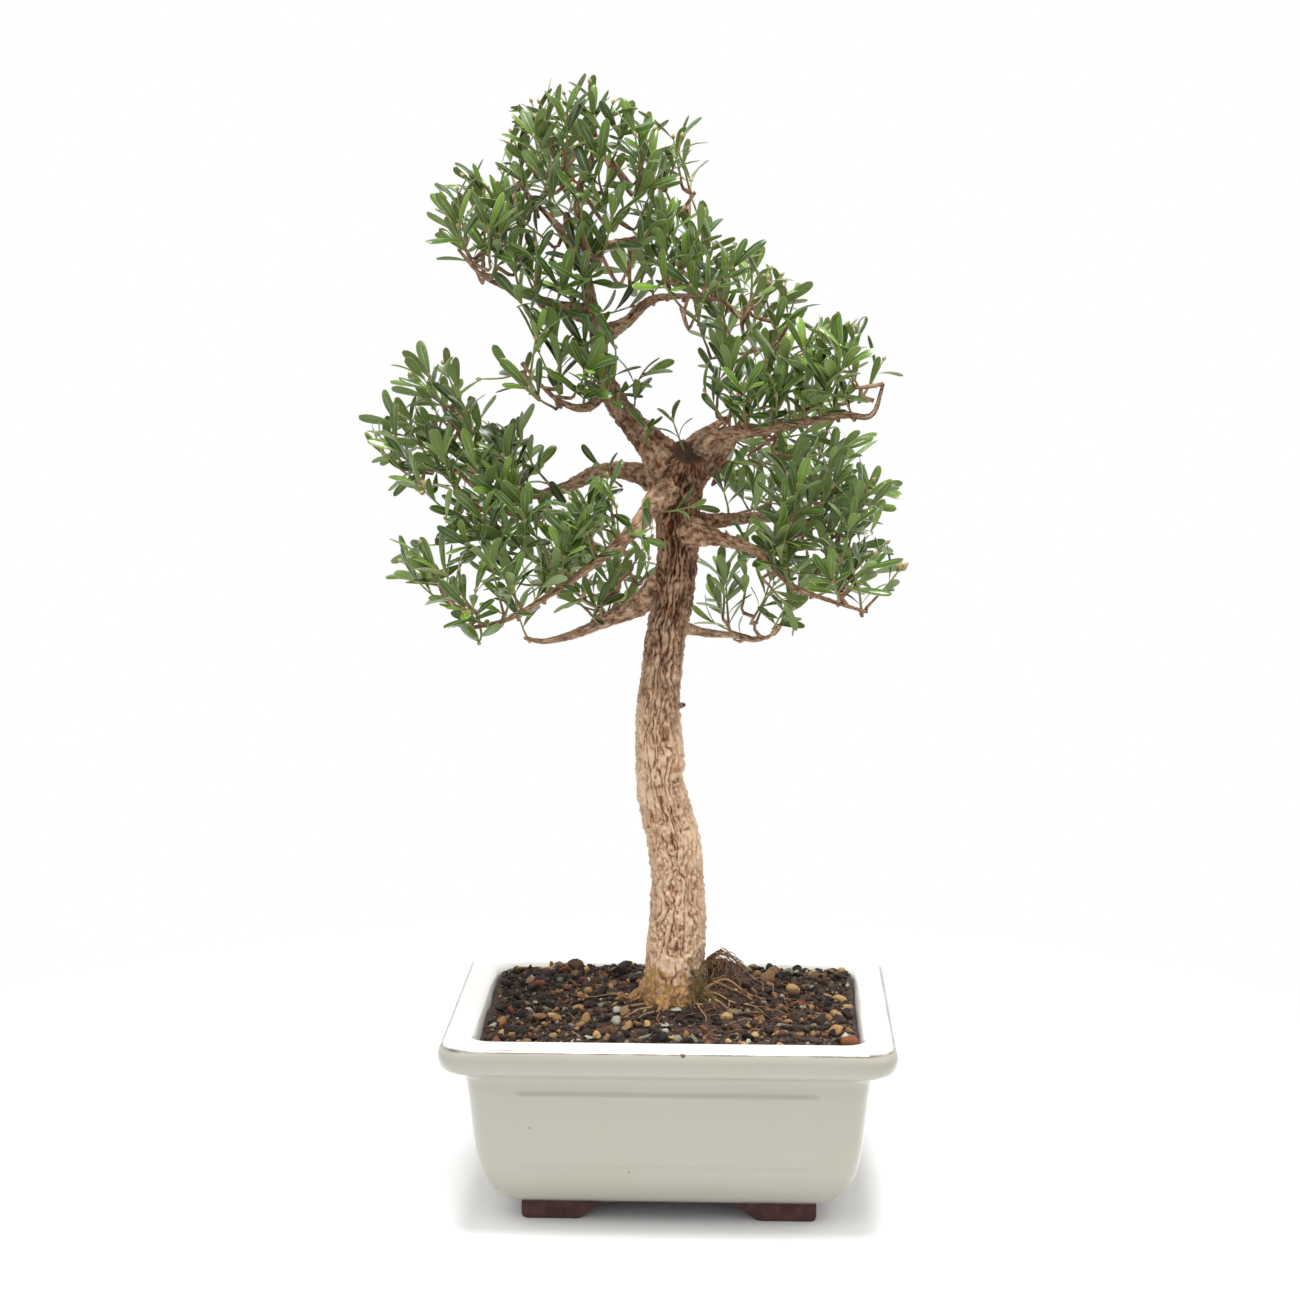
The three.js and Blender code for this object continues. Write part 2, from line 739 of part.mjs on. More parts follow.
// A blade set on its seat, turned further round the shoot by twist.
function setBlade({ seat, along, side, over, turn, lean, size }, twist, thickness, wider) {
  const outward = side
    .clone()
    .multiplyScalar(Math.cos(turn + twist))
    .addScaledVector(over, Math.sin(turn + twist));
  const way = along.clone().multiplyScalar(Math.cos(lean)).addScaledVector(outward, Math.sin(lean));
  const face = along.clone().addScaledVector(way, -along.dot(way)).normalize();
  const across = new THREE.Vector3().crossVectors(way, face);
  const root = seat.clone().addScaledVector(outward, 0.3 * SHOOT_RADIUS);
  const leaf = blade(LEAF_LENGTH * size + wider, LEAF_WIDTH * size + 2 * wider, thickness);
  return solidOf(leaf.applyMatrix4(new THREE.Matrix4().makeBasis(across, way, face).setPosition(root)));
}

// Builds every spray. A blade that would cross anything is turned round its shoot, or left off.
function makeSprays(shoots, wood) {
  const stalks = shoots.map((shoot) => boxed(makeStalk(shoot, 0), shoot.owner));
  const placed = [];
  return shoots.map((shoot, i) => {
    const strangers = [boxed(wood), ...stalks, ...placed].filter(({ owner }) => owner !== shoot.owner);
    const own = [];
    for (const seat of leafSeats(shoot)) {
      const twist = LEAF_TWISTS.find((turn) => {
        if (meets(setBlade(seat, turn, LEAF_THICKNESS, 0), own)) return false;
        return !meets(setBlade(seat, turn, LEAF_THICKNESS + 2 * LEAF_ROOM, LEAF_ROOM), strangers);
      });
      if (twist === undefined) continue;
      own.push(boxed(setBlade(seat, twist, LEAF_THICKNESS, 0), shoot.owner));
    }
    placed.push(...own);
    return join([stalks[i], ...own].map(({ solid }) => solid));
  });
}

// The whole object, with the middle of its bounding box over the origin
const limbs = makeLimbs();
const shoots = growShoots(limbs);
const wood = join([limbs, ...shoots.map((shoot) => makeTwig(shoot, 0))]);
const planted = new THREE.Group();
planted.add(meshOf("pot", makePot(), FINISH.glaze));
planted.add(meshOf("drain_screen_left", makeScreen(-1), FINISH.screen));
planted.add(meshOf("drain_screen_right", makeScreen(1), FINISH.screen));
planted.add(meshOf("soil", makeSoil(), FINISH.soil));
planted.add(meshOf("trunk_and_limbs", wood, FINISH.bark));
makeSprays(shoots, wood).forEach((spray, i) => {
  planted.add(meshOf(`leaf_spray_${String(i + 1).padStart(2, "0")}`, spray, FINISH.leaf));
});
const middle = new THREE.Box3().setFromObject(planted).getCenter(new THREE.Vector3());
planted.position.set(-middle.x, -middle.y, 0);
const bonsai = new THREE.Group();
bonsai.add(planted);

export default bonsai;
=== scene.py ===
"""Looks of a chinese boxwood bonsai in a cream glazed pot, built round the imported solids.

Sizes are millimetres until a mesh is made. The tree's own frame is the one its maker drew the limbs in.
"""

import logging
import math
from collections.abc import Iterator, Sequence
from dataclasses import dataclass, field, replace
from enum import Enum

import bmesh
import bpy
import numpy as np
from mathutils import Matrix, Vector
from mathutils.geometry import tessellate_polygon
from numpy.linalg import norm

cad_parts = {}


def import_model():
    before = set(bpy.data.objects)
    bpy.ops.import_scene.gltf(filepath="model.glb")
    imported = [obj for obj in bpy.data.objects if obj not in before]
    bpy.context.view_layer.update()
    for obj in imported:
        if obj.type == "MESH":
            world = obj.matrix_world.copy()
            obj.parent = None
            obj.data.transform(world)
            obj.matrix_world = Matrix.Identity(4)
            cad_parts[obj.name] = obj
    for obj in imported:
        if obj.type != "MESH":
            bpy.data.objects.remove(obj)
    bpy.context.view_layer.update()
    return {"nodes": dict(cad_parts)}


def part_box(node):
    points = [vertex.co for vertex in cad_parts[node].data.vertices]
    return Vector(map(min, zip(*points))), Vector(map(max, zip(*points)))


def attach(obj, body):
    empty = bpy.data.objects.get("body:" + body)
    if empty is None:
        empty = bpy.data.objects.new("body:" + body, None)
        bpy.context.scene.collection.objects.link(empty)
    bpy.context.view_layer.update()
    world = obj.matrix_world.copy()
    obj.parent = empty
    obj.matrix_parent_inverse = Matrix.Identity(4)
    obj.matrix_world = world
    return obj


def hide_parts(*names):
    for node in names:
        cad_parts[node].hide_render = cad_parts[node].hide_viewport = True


LOG = logging.getLogger("bonsai")
Array = np.ndarray
Material = bpy.types.Material
Piece = bpy.types.Object
Point2 = tuple[float, float]
Triple = tuple[float, float, float]
Row = tuple[float, float, float, float]
Colour = tuple[float, float, float, float]

MM = 0.001
FULL_TURN = 2 * math.pi
UP = np.array([0.0, 0.0, 1.0])


# Small helpers

def linear(red: float, green: float, blue: float) -> Colour:
    """Turns a colour of 0 to 255 a channel into the shader's linear light."""

    def one(level: float) -> float:
        """One channel."""
        share = level / 255
        return share / 12.92 if share <= 0.04045 else ((share + 0.055) / 1.055) ** 2.4

    return (one(red), one(green), one(blue), 1.0)


def draw(*keys: int) -> float:
    """A repeatable number from 0 to 1 for a set of whole-number keys."""
    mixed = 4.137
    for place, key in enumerate(keys):
        mixed += (key + 1) * (12.9898 + 65.2432 * place)
    wave = math.sin(mixed) * 43758.5453
    return wave - math.floor(wave)


def drift(size: float, *keys: int) -> float:
    """The same, from -size to size."""
    return size * (2 * draw(*keys) - 1)


def unit(vector: Array) -> Array:
    """The vector at length 1."""
    return vector / norm(vector)


def ease(low: float, high: float, value: Array | float) -> Array:
    """A soft step from 0 at low to 1 at high."""
    share = np.clip((np.asarray(value, float) - low) / (high - low), 0, 1)
    return share * share * (3 - 2 * share)


def looking(right: Array, up: Array, ahead: Array, place: Array) -> Matrix:
    """Where a camera or a light that looks ahead stands."""
    rows = [[right[i], up[i], -ahead[i], place[i]] for i in range(3)]
    return Matrix([*rows, [0, 0, 0, 1]])


def stand(name: str, data: bpy.types.ID) -> Piece:
    """Puts a new object with that data into the scene."""
    made = bpy.data.objects.new(name, data)
    bpy.context.scene.collection.objects.link(made)
    return made


def inside(outline: Sequence[Point2], x: float, z: float) -> bool:
    """Whether a point lies inside an outline."""
    held = False
    for (x0, z0), (x1, z1) in zip(outline, [*outline[1:], outline[0]]):
        if (z0 > z) != (z1 > z) and x < x0 + (z - z0) * (x1 - x0) / (z1 - z0):
            held = not held
    return held


class Noise:
    """Repeatable noise on a sheet that wraps round a stem after a whole number of cells."""

    COLUMN_MIX = 374761393
    ROW_MIX = 668265263
    SEED_MIX = 362437
    BIT_MIX = 1274126177
    WORD = 0xFFFFFFFF
    TOP = 0xFFFFFF

    @classmethod
    def hashed(cls, column: Array, row: Array, seed: int) -> Array:
        """A number from 0 to 1 for each whole-number column and row."""
        mixed = column.astype(np.int64) * cls.COLUMN_MIX + row.astype(np.int64) * cls.ROW_MIX
        mixed = (mixed + seed * cls.SEED_MIX) & cls.WORD
        mixed = ((mixed ^ (mixed >> 13)) * cls.BIT_MIX) & cls.WORD
        return ((mixed ^ (mixed >> 16)) & cls.TOP) / cls.TOP

    @classmethod
    def smooth(cls, around: Array, along: Array, wrap: int, seed: int) -> Array:
        """Soft noise from 0 to 1.

        Args:
            around: Place round the stem, in cells.
            along: Place along the stem, in cells.
            wrap: Cells in one turn.
            seed: Which noise.

        Returns:
            The noise at each place.
        """
        column, row = np.floor(around), np.floor(along)
        s, t = around - column, along - row
        s, t = s * s * (3 - 2 * s), t * t * (3 - 2 * t)

        def across(level: Array) -> Array:
            """The noise along one row of cells."""
            right = cls.hashed((column + 1) % wrap, level, seed)
            return cls.hashed(column % wrap, level, seed) * (1 - s) + right * s

        return across(row) * (1 - t) + across(row + 1) * t


# Shader wrapping

Term = "Value | float"


class Value:
    """One output of a node, with arithmetic that adds Math nodes."""

    def __init__(self, paint: "Paint", socket: bpy.types.NodeSocket) -> None:
        """Wraps a socket of the material that paint builds."""
        self.paint = paint
        self.socket = socket

    def math(self, operation: str, *values: Term, clamp: bool = False) -> "Value":
        """Adds a Math node.

        Args:
            operation: The node's operation.
            values: Its inputs, in order.
            clamp: Whether the result is held between 0 and 1.

        Returns:
            The node's output.
        """
        settings = {"operation": operation, "use_clamp": clamp}
        return self.paint.node("ShaderNodeMath", settings, dict(enumerate(values)))

    def __add__(self, other: Term) -> "Value":
        """Sum."""
        return self.math("ADD", self, other)

    __radd__ = __add__

    def __sub__(self, other: Term) -> "Value":
        """Difference."""
        return self.math("SUBTRACT", self, other)

    def __rsub__(self, other: float) -> "Value":
        """Difference from a number."""
        return self.math("SUBTRACT", other, self)

    def __mul__(self, other: Term) -> "Value":
        """Product."""
        return self.math("MULTIPLY", self, other)

    __rmul__ = __mul__

    def size(self) -> "Value":
        """The number without its sign."""
        return self.math("ABSOLUTE", self)

    def held(self) -> "Value":
        """The number held between 0 and 1."""
        return self.math("ADD", self, 0.0, clamp=True)

    def ease(self, low: float, high: float) -> "Value":
        """A soft step from 0 at low to 1 at high."""
        settings = {"interpolation_type": "SMOOTHSTEP"}
        return self.paint.node("ShaderNodeMapRange", settings, {0: self, 1: low, 2: high})


Look = Value | Colour


class Paint:
    """Builds one material from nodes."""

    def __init__(self, name: str) -> None:
        """Starts an empty material with that name."""
        self.material = bpy.data.materials.new(name)
        self.material.use_nodes = True
        self.tree = self.material.node_tree
        self.tree.nodes.clear()

    def node(
        self, kind: str, settings: dict | None = None, sockets: dict | None = None, out: int | str = 0
    ) -> Value:
        """Adds a node.

        Args:
            kind: The node's type.
            settings: Its properties, and the stops of a ramp, which are set first.
            sockets: Values or links of its inputs, by name or number.
            out: The output wanted.

        Returns:
            That output.
        """
        made = self.tree.nodes.new(kind)
        for name, value in (settings or {}).items():
            if name == "stops":
                self.set_stops(made.color_ramp, value)
            else:
                setattr(made, name, value)
        for key, value in (sockets or {}).items():
            if isinstance(value, Value):
                self.tree.links.new(value.socket, made.inputs[key])
            else:
                made.inputs[key].default_value = value
        return Value(self, made.outputs[out])

    @staticmethod
    def set_stops(ramp: bpy.types.ColorRamp, stops: Sequence[tuple[float, Colour]]) -> None:
        """Sets a ramp's stops."""
        while len(ramp.elements) < len(stops):
            ramp.elements.new(1.0)
        for element, (place, colour) in zip(ramp.elements, stops):
            element.position = place
            element.color = colour

    def ramp(self, value: Value, *stops: tuple[float, Colour]) -> Value:
        """A colour for each value."""
        return self.node("ShaderNodeValToRGB", {"stops": stops}, {0: value})

    def mix(self, share: Term, first: Look, second: Look, way: str = "MIX") -> Value:
        """A mix of two colours."""
        settings = {"data_type": "RGBA", "blend_type": way}
        return self.node("ShaderNodeMix", settings, {0: share, 6: first, 7: second}, out=2)

    def stretch(self, vector: Value, scale: Triple) -> Value:
        """A vector with each axis scaled."""
        return self.node("ShaderNodeVectorMath", {"operation": "MULTIPLY"}, {0: vector, 1: scale})

    def distance(self, vector: Value, point: Triple) -> Value:
        """How far each place is from a point."""
        sockets = {0: vector, 1: point}
        return self.node("ShaderNodeVectorMath", {"operation": "DISTANCE"}, sockets, out="Value")

    def noise(self, vector: Value, scale: float, detail: float = 3.0, rough: float = 0.55) -> Value:
        """Cloudy noise from 0 to 1."""
        sockets = {"Vector": vector, "Scale": scale, "Detail": detail, "Roughness": rough}
        return self.node("ShaderNodeTexNoise", {}, sockets)

    def spots(self, vector: Value, scale: float) -> tuple[Value, Value]:
        """Distance to the nearest of scattered points, and a number for that point."""
        near = self.node("ShaderNodeTexVoronoi", {}, {"Vector": vector, "Scale": scale})
        return near, self.axes(Value(self, near.socket.node.outputs["Color"]))[0]

    def place(self) -> Value:
        """Where the surface point is, in metres."""
        return self.node("ShaderNodeTexCoord", out="Object")

    def note(self, name: str) -> tuple[Value, Value, Value]:
        """The three numbers that a mesh keeps at each point under a name."""
        return self.axes(self.note_vector(name))

    def note_vector(self, name: str) -> Value:
        """The same as one vector."""
        settings = {"attribute_type": "GEOMETRY", "attribute_name": name}
        return self.node("ShaderNodeAttribute", settings, out="Vector")

    def axes(self, vector: Value) -> tuple[Value, Value, Value]:
        """A vector's three numbers."""
        first = self.node("ShaderNodeSeparateXYZ", {}, {0: vector})
        outputs = first.socket.node.outputs
        return first, Value(self, outputs[1]), Value(self, outputs[2])

    def bumps(self, *layers: tuple[Value, float]) -> Value:
        """A normal from layers of height, each from 0 to 1, with how many millimetres 1 stands for."""
        under: dict[str, Value] = {}
        for height, depth_mm in layers:
            sockets = {"Height": height, "Distance": depth_mm * MM, "Strength": 1.0, **under}
            under = {"Normal": self.node("ShaderNodeBump", {}, sockets)}
        return under["Normal"]

    def finish(self, **sockets: Value | float | Colour) -> Material:
        """Ends the material with a Principled shader.

        Args:
            sockets: Its inputs, with the words of their names joined by underscores.

        Returns:
            The material.
        """
        named = {key.replace("_", " "): value for key, value in sockets.items()}
        shader = self.node("ShaderNodeBsdfPrincipled", {}, named)
        output = self.tree.nodes.new("ShaderNodeOutputMaterial")
        self.tree.links.new(shader.socket, output.inputs["Surface"])
        return self.material


# Finishes

@dataclass(frozen=True)
class Glaze:
    """Cream glaze, thin and brown along the lip, over a bare clay foot, with a painted highlight that whitens
    the faces looking up or inward near the rim.
    """

    cream: Colour = linear(157, 154, 140)
    milky: Colour = linear(157, 156, 147)
    painted_top_highlight: Colour = linear(240, 239, 234)
    iron: Colour = linear(84, 62, 52)
    clay: Colour = linear(80, 50, 45)
    clay_dark: Colour = linear(56, 33, 30)
    clay_top_m: float = 0.0112
    clay_blend_m: float = 0.0004
    painted_highlight_from_m: Point2 = (0.085, 0.095)
    pinhole_m: Triple = (0.0, 0.0, 0.0)
    pinhole_reach_m: Point2 = (0.0009, 0.0014)
    chip_m: Triple = (0.0, 0.0, 0.0)
    chip_reach_m: Point2 = (0.002, 0.0055)

    def material(self) -> Material:
        """The glaze and the bare clay as one material."""
        paint = Paint("cream_glaze_on_brown_clay")
        place = paint.place()
        edge, thick, _ = paint.note("glaze")
        x, y, height = paint.axes(place)
        cloud = paint.noise(place, 18, 2)
        fine = paint.noise(place, 420, 3)
        colour = paint.mix(cloud.ease(0.35, 0.75) * 0.45, self.cream, self.milky)
        colour = paint.mix(thick * 0.55, colour, self.milky)
        # Painted highlight: near the rim the faces that look up or inward turn almost white, standing in for
        # the strong light from above.
        right, back, upward = paint.axes(paint.node("ShaderNodeNewGeometry", out="Normal"))
        inward = (right * x + back * y).ease(-0.03, 0.0)
        pale = (upward.ease(0.75, 0.97) + (1 - inward)).held() * height.ease(*self.painted_highlight_from_m)
        colour = paint.mix(pale, colour, self.painted_top_highlight)
        near, pick = paint.spots(place, 95)
        speck = (1 - near.ease(0.03, 0.09)) * pick.ease(0.86, 0.9)
        broken = paint.noise(place, 60, 3).ease(0.36, 0.6)
        line = (edge * (broken * 1.2 + 0.35)).held()
        pinhole = 1 - paint.distance(place, self.pinhole_m).ease(*self.pinhole_reach_m)
        ragged = paint.distance(place, self.chip_m) + (cloud - 0.5) * 0.006
        chip = (1 - ragged.ease(*self.chip_reach_m)) * (edge * 2.5).held()
        colour = paint.mix((line * 0.85 + speck * 0.7 + pinhole + chip * 0.9).held(), colour, self.iron)
        brim = height + (paint.noise(place, 90, 2) - 0.5) * 0.0012
        bare = 1 - brim.ease(self.clay_top_m - self.clay_blend_m, self.clay_top_m + self.clay_blend_m)
        clay = paint.mix(paint.noise(place, 140, 4).ease(0.3, 0.72), self.clay_dark, self.clay)
        normal = paint.bumps((cloud, 0.9), (fine * bare, 0.35), (1 - pinhole, 0.6))
        return paint.finish(
            Base_Color=paint.mix(bare, colour, clay),
            Roughness=bare * 0.7 + fine * 0.05 + 0.13,
            Coat_Weight=(1 - bare) * 0.5,
            Coat_Roughness=0.06,
            Normal=normal,
        )


@dataclass(frozen=True)
class Bark:
    """Corky, pinkish tan bark with dark fissures, lichen at its foot and moss on one side; the colour ramp by
    relief adds painted shade in the fissures and a painted highlight on the ridges, and the upper stems are
    darkened with painted shade from the crown.
    """

    pit: Colour = linear(66, 44, 30)
    side: Colour = linear(162, 118, 88)
    plate: Colour = linear(216, 170, 136)
    painted_ridge_highlight: Colour = linear(253, 220, 186)
    blotch_and_painted_shade: Colour = linear(134, 94, 66)
    ochre: Colour = linear(216, 176, 92)
    wood: Colour = linear(190, 128, 78)
    moss: Colour = linear(58, 60, 28)
    grain_end: Colour = linear(96, 78, 66)
    upper_from_m: Point2 = (0.23, 0.37)
    streaked_from_m: Point2 = (0.25, 0.32)
    lichen_top_m: float = 0.126
    lichen_blend_m: float = 0.008
    moss_side_m: float = 0.026
    moss_blend_m: float = 0.006
    moss_top_m: Point2 = (0.124, 0.136)
    painted_shade_and_streaks: float = 1.1
    fibre_stretch: Triple = (1.0, 1.0, 0.22)
    streak_stretch: Triple = (1.0, 1.0, 0.3)
    name: str = "fissured_corky_bark"

    def material(self) -> Material:
        """The bark's material."""
        paint = Paint(self.name)
        place = paint.place()
        x, _, height = paint.axes(place)
        level, tone, end = paint.note("bark")
        grain = paint.note_vector("grain")
        fibres = paint.noise(paint.stretch(grain, self.fibre_stretch), 1.5, 5, 0.65)
        crumbs = paint.noise(grain, 2.0, 5, 0.7)
        blotch = paint.noise(grain, 0.12, 3)
        # The ramp by relief height is partly the bark's own colour and partly painted light: painted shade in
        # the fissures, a painted highlight on the ridge tops.
        shade = level * 0.95 + (fibres - 0.5) * 0.5 + (tone - 0.5) * 0.12 + (crumbs - 0.5) * 1.15 + 0.22
        stops = ((0.1, self.pit), (0.3, self.side), (0.52, self.plate), (0.95, self.painted_ridge_highlight))
        colour = paint.ramp(shade.held(), *stops)
        # Darker blotches at random, in the bark's own tone.
        colour = paint.mix(blotch.ease(0.5, 0.72) * 0.3, colour, self.blotch_and_painted_shade)
        # Painted shade: the upper trunk and limbs are darkened, fissures more than ridges, standing in for
        # the shade under the crown.
        upper = (height + (blotch - 0.5) * 0.1).ease(*self.upper_from_m)
        colour = paint.mix((upper * self.painted_shade_and_streaks * (1.1 - level * 0.6)).held(), colour, self.blotch_and_painted_shade, "MULTIPLY")
        # Darker streaks on the upper stems.
        streak = paint.noise(paint.stretch(grain, self.streak_stretch), 0.32, 5, 0.65)
        dark_streak = streak.ease(0.47, 0.57) * height.ease(*self.streaked_from_m)
        colour = paint.mix(dark_streak * 0.65 * self.painted_shade_and_streaks, colour, self.pit)
        patch = paint.noise(place, 85, 4)
        rising = height + (patch - 0.5) * 0.06 - (fibres - 0.5) * 0.02
        low = 1 - rising.ease(self.lichen_top_m - self.lichen_blend_m, self.lichen_top_m)
        colour = paint.mix(low * 0.6, colour, self.wood)
        lichen = low * paint.noise(place, 190, 4).ease(0.45, 0.62)
        colour = paint.mix(lichen * 0.95, colour, self.ochre)
        right = (x + (patch - 0.5) * 0.022).ease(self.moss_side_m, self.moss_side_m + self.moss_blend_m)
        lowest = 1 - (height + (patch - 0.5) * 0.03).ease(*self.moss_top_m)
        green = right * lowest * crumbs.ease(0.3, 0.5)
        colour = paint.mix(green * 0.85, colour, self.moss)
        rings = paint.ramp(crumbs, (0.2, self.pit), (0.8, self.grain_end))
        normal = paint.bumps((fibres, 0.6), (crumbs, 0.8), (paint.noise(grain, 1.1, 4, 0.7), 1.1))
        return paint.finish(
            Base_Color=paint.mix(end, colour, rings),
            Roughness=0.9 - level * 0.12,
            Specular_IOR_Level=0.25,
            Normal=normal,
        )


@dataclass(frozen=True)
class Grit:
    """Stones of the soil mix, each of one kind."""

    kinds: tuple[tuple[float, Colour], ...] = (
        (0.00, linear(36, 27, 23)),
        (0.24, linear(58, 42, 34)),
        (0.42, linear(94, 68, 50)),
        (0.56, linear(140, 84, 48)),
        (0.62, linear(152, 120, 82)),
        (0.73, linear(190, 146, 92)),
        (0.82, linear(216, 178, 120)),
        (0.87, linear(150, 152, 124)),
        (0.94, linear(194, 198, 176)),
    )
    dust: Colour = linear(58, 44, 36)
    pale: Colour = (1, 1, 1, 1)
    dim: Colour = (0.35, 0.33, 0.32, 1)

    def material(self) -> Material:
        """The stones' material."""
        paint = Paint("lava_pumice_and_clay_grit")
        place = paint.place()
        kind, tone, _ = paint.note("stone")
        base = paint.node("ShaderNodeValToRGB", {"stops": self.kinds}, {0: kind})
        base.socket.node.color_ramp.interpolation = "CONSTANT"
        mottle = paint.noise(place, 520, 4, 0.6)
        colour = paint.mix(0.75, base, paint.ramp(mottle, (0.2, self.dim), (0.8, self.pale)), "MULTIPLY")
        dusty = (0.5 - tone) * 0.6 + mottle.ease(0.5, 0.72) * 0.5 + 0.08
        colour = paint.mix(dusty.held(), colour, self.dust)
        pores, _ = paint.spots(place, 900)
        normal = paint.bumps((paint.noise(place, 700, 4), 0.6), (pores.ease(0.1, 0.4), 0.25))
        rough = 0.62 + mottle * 0.35
        return paint.finish(Base_Color=colour, Roughness=rough, Specular_IOR_Level=0.4, Normal=normal)


@dataclass(frozen=True)
class Earth:
    """Damp dark humus between the stones."""

    name: str = "damp_humus"
    dark: Colour = linear(30, 22, 18)
    light: Colour = linear(92, 68, 52)

    def material(self) -> Material:
        """The humus's material."""
        paint = Paint(self.name)
        place = paint.place()
        crumbs = paint.noise(place, 340, 6, 0.65)
        colour = paint.ramp(crumbs, (0.3, self.dark), (0.75, self.light))
        normal = paint.bumps((paint.noise(place, 260, 6, 0.7), 2.0))
        return paint.finish(Base_Color=colour, Roughness=0.95 - crumbs * 0.3, Normal=normal)


@dataclass(frozen=True)
class Blade:
    """Leathery leaves: glossy green above, paler below, with a pale midrib and margin, and lighter towards
    the back as painted backlight.
    """

    deep: Colour = linear(11, 25, 5)
    mid: Colour = linear(39, 69, 18)
    fresh: Colour = linear(120, 154, 46)
    lit: Colour = linear(130, 164, 62)
    below: Colour = linear(122, 148, 82)
    rib: Colour = linear(160, 176, 112)
    margin: Colour = linear(176, 180, 134)
    dry: Colour = linear(158, 112, 62)
    lit_from_m: Point2 = (0.0, 0.08)
    vein_pairs: float = 11
    vein_slant: float = 3.2

    def material(self) -> Material:
        """The leaves' material."""
        paint = Paint("leathery_boxwood_leaf")
        place = paint.place()
        across, along, tone = paint.note("blade")
        under, young, dry = paint.note("leaf_state")
        cloud = paint.noise(place, 160, 3)
        colour = paint.ramp((tone * 0.8 + cloud * 0.3).held(), (0.15, self.deep), (0.95, self.mid))
        colour = paint.mix(young * 0.7, colour, self.fresh)
        # Painted backlight: leaves towards the back are lightened, standing in for light shining through
        # them.
        _, depth, _ = paint.axes(place)
        colour = paint.mix(depth.ease(*self.lit_from_m) * (0.25 + tone * 0.5), colour, self.lit)
        colour = paint.mix(under * 0.7, colour, self.below)
        side = across.size()
        veins = ((along * self.vein_pairs - side * self.vein_slant) * FULL_TURN).math("SINE")
        vein = veins.ease(0.86, 1.0) * (1 - side.ease(0.7, 0.95))
        colour = paint.mix(vein * 0.14, colour, self.rib)
        rib = (1 - side.ease(0.03, 0.09)) * (1 - along.ease(0.7, 0.95))
        colour = paint.mix(rib * 0.5, colour, self.rib)
        colour = paint.mix((1 - along.ease(0.02, 0.14)) * 0.6, colour, self.rib)
        colour = paint.mix(side.ease(0.9, 1.0) * 0.45, colour, self.margin)
        colour = paint.mix(dry, colour, paint.mix(cloud, self.dry, self.margin))
        normal = paint.bumps((vein, 0.12), (paint.noise(place, 1400, 2), 0.05))
        return paint.finish(
            Base_Color=colour,
            Roughness=under * 0.22 + dry * 0.2 + cloud * 0.14 + 0.17,
            Specular_IOR_Level=0.42,
            Coat_Weight=0.16,
            Coat_Roughness=0.08,
            Subsurface_Weight=0.1,
            Subsurface_Scale=0.002,
            Normal=normal,
        )


@dataclass(frozen=True)
class Stalk:
    """Green shoots that turn brown towards their foot, and buds."""

    green: Colour = linear(118, 132, 66)
    brown: Colour = linear(118, 88, 58)
    scale: Colour = linear(176, 152, 112)

    def material(self) -> Material:
        """The stalks' material."""
        paint = Paint("green_shoot_stalk")
        age, bud, _ = paint.note("stalk")
        cloud = paint.noise(paint.place(), 380, 3)
        colour = paint.mix((age + (cloud - 0.5) * 0.5).held(), self.green, self.brown)
        colour = paint.mix(bud * 0.9, colour, self.scale)
        return paint.finish(Base_Color=colour, Roughness=0.55 + cloud * 0.2, Normal=paint.bumps((cloud, 0.2)))


@dataclass(frozen=True)
class Fibre:
    """Fine roots and straws, tan and dull."""

    pale: Colour = linear(176, 140, 98)
    dark: Colour = linear(96, 62, 40)

    def material(self) -> Material:
        """The roots' material."""
        paint = Paint("dry_root_fibre")
        tone, _, _ = paint.note("fibre")
        cloud = paint.noise(paint.place(), 300, 4)
        colour = paint.mix((tone * 0.8 + cloud * 0.3).held(), self.dark, self.pale)
        return paint.finish(Base_Color=colour, Roughness=0.8, Normal=paint.bumps((cloud, 0.3)))


@dataclass(frozen=True)
class Plastic:
    """Black moulded mesh of the drain screens."""

    black: Colour = linear(34, 36, 35)
    scuffed: Colour = linear(70, 70, 66)

    def material(self) -> Material:
        """The mesh's material."""
        paint = Paint("black_moulded_plastic_mesh")
        place = paint.place()
        scuffs = paint.noise(place, 300, 4)
        colour = paint.mix(scuffs.ease(0.55, 0.8), self.black, self.scuffed)
        normal = paint.bumps((scuffs, 0.05))
        return paint.finish(Base_Color=colour, Roughness=0.4 + scuffs * 0.3, Normal=normal)


# Mesh making

